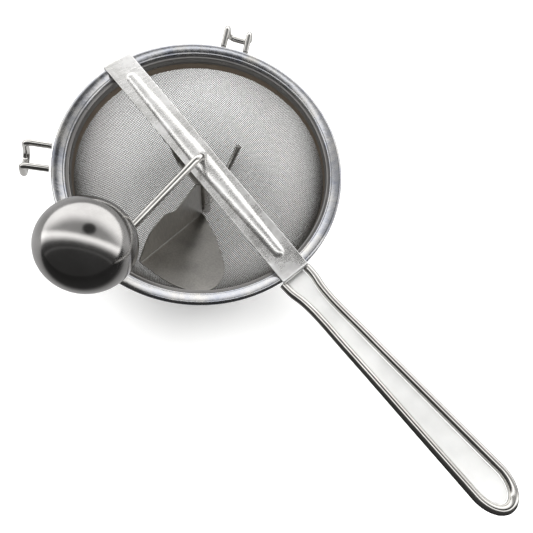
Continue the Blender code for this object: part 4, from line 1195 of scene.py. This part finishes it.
# %% The sleeve, the washer and the retainer
SLEEVE_FLANGE = 0.0007
SLEEVE_WALL = 0.0010
SLEEVE_LENGTH = 0.0370
RETAINER_R = 0.0052
RETAINER_HEIGHT = 0.0010
washer_low = ARM_Z + SPINDLE_BEND_R + GAP
sleeve_low = washer_low + WASHER_SHEET + GAP
sleeve_top = sleeve_low + SLEEVE_LENGTH
sleeve_r = BORE_R + SLEEVE_WALL
axis_at = (ARM_END[0], ARM_END[1], 0.0)
lathe_part("knob_sleeve_turned", [
    (BORE_R, sleeve_low), (SLEEVE_FLANGE_R, sleeve_low), (SLEEVE_FLANGE_R, sleeve_low + SLEEVE_FLANGE),
    (sleeve_r, sleeve_low + SLEEVE_FLANGE), (sleeve_r, sleeve_top), (BORE_R, sleeve_top)],
    "knob", "turned_brass", "knob_sleeve", axis_at)
lathe_part("knob_washer_turned", ring(BORE_R, WASHER_R, washer_low, washer_low + WASHER_SHEET),
           "crank", "satin_pin_steel", "knob_washer", axis_at)
retainer_low = sleeve_top + GAP
lathe_part("knob_retainer_turned", ring(BORE_R, RETAINER_R, retainer_low, retainer_low + RETAINER_HEIGHT),
           "crank", "satin_pin_steel", "knob_retainer", axis_at)

# %% [markdown]
# ## The handle
# A thick wire loop is the handle's edge, and a thin sheet fills it. The loop narrows behind the rim, then
# widens slowly towards a round tip. Both lie in a plane that rises by 10.6 degrees from the rim. The same
# outline, moved inward, later gives the sheet its edge.

# %% The loop's outline
HANDLE_WIRE_R = 0.0029
HANDLE_LENGTH = 0.1918
HANDLE_HALF = 0.0112
TIP_LENGTH = 0.0165
HANDLE_DROP = 0.0029
RISE = math.radians(10.6)
HANDLE_SHARES = (
    (0.00, 0.93), (0.05, 0.905), (0.105, 0.755), (0.16, 0.69), (0.21, 0.685), (0.32, 0.732),
    (0.47, 0.78), (0.61, 0.838), (0.745, 0.893), (0.86, 0.94), (1.00, 1.00))


def handle_side(inset, count=110):
    """Distance and half width: the table down one side, then a quarter ellipse round half of the tip."""
    start = GAP + HANDLE_WIRE_R * math.sin(RISE)
    straight = HANDLE_LENGTH - HANDLE_WIRE_R - TIP_LENGTH
    share = np.linspace(0, 1, count)
    half = HANDLE_HALF * smooth_table(HANDLE_SHARES, share) - inset
    side = np.c_[start + (straight - start) * share, half]
    angle = np.linspace(0, math.pi / 2, 30)[1:]
    tip = np.c_[straight + (TIP_LENGTH - inset) * np.sin(angle), (HANDLE_HALF - inset) * np.cos(angle)]
    return np.vstack([side, tip])


def on_handle(distance, side, lift):
    """Distance d, side and lift h on the handle's plane to x = rim + d cos r - h sin r, y = side,
    z = root + d sin r + h cos r, with r the plane's rise.
    """
    return np.stack(np.broadcast_arrays(
        RIM_R + distance * math.cos(RISE) - lift * math.sin(RISE), side,
        RIM_Z - HANDLE_DROP + distance * math.sin(RISE) + lift * math.cos(RISE)), axis=-1)


half_loop = handle_side(0.0)
half_loop[-1, 1] = 0.0
loop = np.vstack([half_loop, half_loop[-2::-1] * (1, -1)])
place(wire("handle_loop_wire", on_handle(loop[:, 0], loop[:, 1], 0.0), HANDLE_WIRE_R, 28, 0.1),
      "sieve", "buffed_stainless_wire", ["handle_wire"])

# %% [markdown]
# ### The sheet in the loop
# The sheet lies a millimetre below the middle of the wire. Its root runs on under the rim and turns down
# at the collar, where it is welded. It is the same strip recipe with the loop's own table of widths.

# %% The hazed sheet inside the loop
PANEL_SHEET = 0.0008
PANEL_SINK = 0.0010
ROOT_HALF = 0.0080
WELD_R = 0.0923
WELD_DEPTH = 0.0060
panel_side = handle_side(HANDLE_WIRE_R + GAP)
panel_side = panel_side[panel_side[:, 1] > GAP]
weld_x = WELD_R + GAP + PANEL_SHEET / 2
panel_in = -(RIM_R - weld_x) / math.cos(RISE)
root = np.array([(panel_in, ROOT_HALF), (panel_in / 2, ROOT_HALF), (0.0, ROOT_HALF)])
panel_side = np.vstack([root, panel_side])
panel_middle = on_handle(panel_side[:, 0], 0.0, -PANEL_SINK)[:, [0, 2]]
weld_foot = panel_middle[0] - (0.0, WELD_DEPTH)
panel_line = np.vstack([[weld_foot], [weld_foot * 0.5 + panel_middle[0] * 0.5], panel_middle])
panel_half = np.concatenate([[ROOT_HALF, ROOT_HALF], panel_side[:, 1]])
panel = place(strip("handle_panel_sheet", panel_line, panel_half, PANEL_SHEET, np.linspace(-1, 1, 17)),
              "sieve", "buffed_stainless_sheet", ["handle_panel"])
even_shading(panel)

# %% [markdown]
# ## The hooks
# Two bent wires on the far side hang over a pot's edge, so that the sieve rests on the handle and the
# hooks. Each is one wire with four bends, welded to the rolled edge at both ends.

# %% The two hooks
HOOK_R = 0.0022
HOOK_HALF = 0.0085
HOOK_LENGTH = 0.0162
HOOK_RISE = 0.0036
HOOK_DROP = 0.0165
HOOK_LEAN = 0.0046
HOOK_BENDS = (0.0036, 0.0060, 0.0060, 0.0036)


def hook_path(azimuth):
    """Out from the rim, down, along the bottom and back, turned to the hook's azimuth."""
    rim_x = math.sqrt(RIM_R ** 2 - (HOOK_HALF - HOOK_R) ** 2)
    start_x = rim_x + GAP + HOOK_R * HOOK_RISE / HOOK_LENGTH
    bend_x = RIM_R + HOOK_LENGTH
    half = [(start_x, HOOK_HALF, RIM_Z), (bend_x, HOOK_HALF, RIM_Z + HOOK_RISE),
            (bend_x + HOOK_LEAN, HOOK_HALF, RIM_Z + HOOK_RISE - HOOK_DROP)]
    corners = np.array(half + [(x, -y, z) for x, y, z in half[::-1]])
    cos, sin = math.cos(azimuth), math.sin(azimuth)
    return bent_line(corners, HOOK_BENDS) @ np.array([(cos, sin, 0), (-sin, cos, 0), (0, 0, 1)])


for hook_name, azimuth_deg in (("hook_left", -129.0), ("hook_right", 129.0)):
    hook_line = hook_path(math.radians(azimuth_deg))
    place(wire(f"{hook_name}_wire", hook_line, HOOK_R, 20, 0.1), "sieve", "bright_drawn_wire",
          [hook_name])

# %% [markdown]
# ## Levels by direction
# The floor and the light both need levels that change along one axis: how far a place or a direction lies
# towards it. A table of levels is easy to read and to tune, and a colour ramp holds it.

# %% Levels along an axis
def towards(tree, place_on, axis):
    """The dot product of a place or a direction with an axis."""
    return add_node(tree, "ShaderNodeVectorMath", {0: place_on, 1: tuple(axis)},
                    operation="DOT_PRODUCT").outputs["Value"]


def level_ramp(tree, value, low, high, levels, brightest):
    """Levels by a value between low and high. The ramp holds shares of the brightest level."""
    share = add_node(tree, "ShaderNodeMapRange", {"Value": value, "From Min": low, "From Max": high})
    ramp = add_node(tree, "ShaderNodeValToRGB", {"Fac": share.outputs["Result"]})
    stops = ramp.color_ramp.elements
    while len(stops) < len(levels):
        stops.new(0.5)
    for stop, (place_at, level) in zip(stops, levels):
        stop.position = (place_at - low) / (high - low)
        stop.color = (level / brightest,) * 3 + (1.0,)
    return add_node(tree, "ShaderNodeMath", {0: ramp.outputs["Color"], 1: brightest},
                    operation="MULTIPLY").outputs["Value"]


print("a level of 0.7 of at most 2.1 is held as", round(0.7 / 2.1, 3))

# %% [markdown]
# ## The stage
# A pale floor lies under the sieve. For the camera a little glow is added to it near the object and more
# far off, so it looks like the seamless white of a product photograph, and it still takes the soft shadow.
# Mirror-like metal sees a painted reflection in its place: a glow whose levels change along one axis, like a
# sheet of paper that ends towards the open side of the room.

# %% Floor
PAPER_AXIS = (0.79, -0.61, 0.0)
PAPER_REACH = 0.6
PAPER_REFLECTION_LEVELS = ((-0.600, 0.45), (-0.120, 0.55), (0.000, 0.66), (0.120, 0.46), (0.168, 0.36), (0.204, 0.14),
                (0.240, 0.04), (0.600, 0.03))
GLOW_NEAR, GLOW_FAR = (0.35, 0.30), (1.1, 1.0)


def floor_finish():
    """Matt white that glows for the camera, by distance; mirror rays see a painted glow with levels along an
    axis.
    """
    material = bpy.data.materials.new("seamless_white_paper")
    material.use_nodes = True
    tree = material.node_tree
    tree.nodes.clear()
    ray = add_node(tree, "ShaderNodeLightPath")
    paper = add_node(tree, "ShaderNodeBsdfDiffuse", {"Color": linear("#F4F4F3")})
    place_on = add_node(tree, "ShaderNodeTexCoord").outputs["Object"]
    distance = add_node(tree, "ShaderNodeVectorMath", {0: place_on}, operation="LENGTH").outputs["Value"]
    sweep = add_node(tree, "ShaderNodeMapRange", {
        "Value": distance, "From Min": GLOW_NEAR[0], "From Max": GLOW_FAR[0],
        "To Min": GLOW_NEAR[1], "To Max": GLOW_FAR[1]})
    strength = add_node(tree, "ShaderNodeMath", {
        0: ray.outputs["Is Camera Ray"], 1: sweep.outputs["Result"]}, operation="MULTIPLY")
    glow = add_node(tree, "ShaderNodeEmission", {"Strength": strength.outputs["Value"]})
    bright = add_node(tree, "ShaderNodeAddShader", {0: paper.outputs["BSDF"], 1: glow.outputs["Emission"]})
    along_paper = towards(tree, place_on, PAPER_AXIS)
    level = level_ramp(tree, along_paper, -PAPER_REACH, PAPER_REACH, PAPER_REFLECTION_LEVELS, 1.0)
    # For mirror rays the floor is a painted reflection: a glow at these levels, dimmer towards the open
    # side.
    reflection_glow = add_node(tree, "ShaderNodeEmission", {"Strength": level})
    both = add_node(tree, "ShaderNodeMixShader", {
        0: ray.outputs["Is Glossy Ray"], 1: bright.outputs["Shader"], 2: reflection_glow.outputs["Emission"]})
    add_node(tree, "ShaderNodeOutputMaterial", {"Surface": both.outputs["Shader"]})
    return material


FLOOR_HALF = 3.0
FLOOR_BELOW = 0.0002
floor_corners = [(x * FLOOR_HALF, y * FLOOR_HALF, 0) for x, y in ((-1, -1), (1, -1), (1, 1), (-1, 1))]
floor_mesh = bpy.data.meshes.new("studio_floor")
floor_mesh.from_pydata(floor_corners, [], [(0, 1, 2, 3)])
floor_mesh.materials.append(floor_finish())
floor = bpy.data.objects.new("studio_floor", floor_mesh)
floor.location.z = -FLOOR_BELOW
bpy.context.scene.collection.objects.link(floor)
print("floor", FLOOR_HALF * 2, "m wide")

# %% [markdown]
# ## Light
# Polished metal shows its surroundings, so the light is built for its reflections. The ball in the
# photograph shows where they are: a grey roof with a small dark hole, a bright wall behind the hooks, a
# bright strip overhead along the open side, and past it the dark room. Each one is a band of directions,
# told by how far a direction leans towards one axis. Real lamps and walls would do it too, but bands of a
# world are quicker to render and to tune. Angles are in degrees and levels in shares of plain white.

# %% The light tent as a dome
OPEN_SIDE = (0.65, -0.76, 0.0)
WALL_SIDE = (-0.563, 0.541, -0.625)
ROOF_HOLE = (-0.11, 0.42, 0.90)
OPEN_LEVELS = (
    (-1.00, 0.50), (-0.15, 0.46), (-0.06, 1.70), (0.02, 2.10), (0.12, 1.10), (0.22, 0.16), (0.32, 0.07),
    (0.40, 0.06), (0.44, 0.18), (0.49, 0.06), (1.00, 0.05))
BRIGHTEST = 2.1
WALL_LEVEL = 1.30
WALL_FROM, WALL_TO = -0.20, 0.34
HOLE_EDGES = (16.0, 11.0)
HOLE_SHARE = 0.12


def lean_towards(tree, direction, axis):
    """The cosine between a direction and an axis: the dot product with the axis at a length of 1."""
    return towards(tree, direction, np.array(axis) / np.linalg.norm(axis))


def tent_world():
    """The wall is added to the roof and strip, the hole takes its share of both, the camera sees white."""
    world = bpy.data.worlds.new("light_tent")
    bpy.context.scene.world = world
    world.use_nodes = True
    tree = world.node_tree
    tree.nodes.clear()
    direction = add_node(tree, "ShaderNodeTexCoord").outputs["Generated"]
    roof = level_ramp(tree, lean_towards(tree, direction, OPEN_SIDE), -1.0, 1.0, OPEN_LEVELS, BRIGHTEST)
    wall = add_node(tree, "ShaderNodeMapRange", {
        "Value": lean_towards(tree, direction, WALL_SIDE), "From Min": WALL_FROM, "From Max": WALL_TO,
        "To Max": WALL_LEVEL}, interpolation_type="SMOOTHSTEP")
    tent = add_node(tree, "ShaderNodeMath", {0: roof, 1: wall.outputs["Result"]}, operation="ADD")
    outer, inner = (math.cos(math.radians(edge)) for edge in HOLE_EDGES)
    hole = add_node(tree, "ShaderNodeMapRange", {
        "Value": lean_towards(tree, direction, ROOF_HOLE), "From Min": outer, "From Max": inner,
        "To Min": 1.0, "To Max": HOLE_SHARE})
    light = add_node(tree, "ShaderNodeMath", {0: tent.outputs["Value"], 1: hole.outputs["Result"]},
                     operation="MULTIPLY")
    seen = add_node(tree, "ShaderNodeLightPath").outputs["Is Camera Ray"]
    shown = add_node(tree, "ShaderNodeMath", {0: light.outputs["Value"], 1: seen}, operation="MAXIMUM")
    sky = add_node(tree, "ShaderNodeBackground", {
        "Color": (1.0, 1.0, 1.0, 1.0), "Strength": shown.outputs["Value"]})
    add_node(tree, "ShaderNodeOutputWorld", {"Surface": sky.outputs["Background"]})


tent_world()
print(len(OPEN_LEVELS), "levels across the tent")

# %% [markdown]
# ### One lamp
# The tent's light comes from all sides, so a matt floor hardly shows a shadow in it. One wide lamp overhead
# gives the soft shadow under the bowl. Metal doesn't mirror it, since the real ball shows no such disc.

# %% One soft lamp for the shadow
lamp_data = bpy.data.lights.new("window_softbox", "AREA")
lamp_data.shape = "DISK"
lamp_data.size = 1.5
lamp_data.energy = 21.0
lamp = bpy.data.objects.new("window_softbox", lamp_data)
lamp.visible_glossy = False
lamp.location = (-0.20, 0.24, 1.30)
lamp_aim = np.array([0.0, 0.0, 0.05]) - np.array(lamp.location)
lamp.rotation_euler = (math.atan2(math.hypot(lamp_aim[0], lamp_aim[1]), -lamp_aim[2]), 0.0,
                       math.atan2(lamp_aim[1], lamp_aim[0]) - math.pi / 2)
bpy.context.scene.collection.objects.link(lamp)
print("lamp at", tuple(round(value, 2) for value in lamp.location))

# %% [markdown]
# ## Camera
# The camera looks down at the sieve as in the photograph. Its place and lens were worked out from the
# ellipse of the rim, the ball and the handle's length. The small shift stands for the picture's crop.

# %% The photograph's viewpoint
camera_data = bpy.data.cameras.new("photo_camera")
camera_data.lens = 31.5126
camera_data.sensor_width = 36.0
camera_data.sensor_fit = "HORIZONTAL"
camera_data.shift_x = -0.045784
camera_data.shift_y = -0.0074106
camera_data.clip_start = 0.01
camera = bpy.data.objects.new("photo_camera", camera_data)
camera.location = (0.12599, -0.08949, 0.39002)
camera.rotation_euler = (0.2703, -0.1589, 0.8648)
bpy.context.scene.collection.objects.link(camera)
bpy.context.scene.camera = camera
bpy.context.scene.view_settings.view_transform = "Standard"
print("camera", round(camera.location.length * 1000), "mm from the middle of the floor")
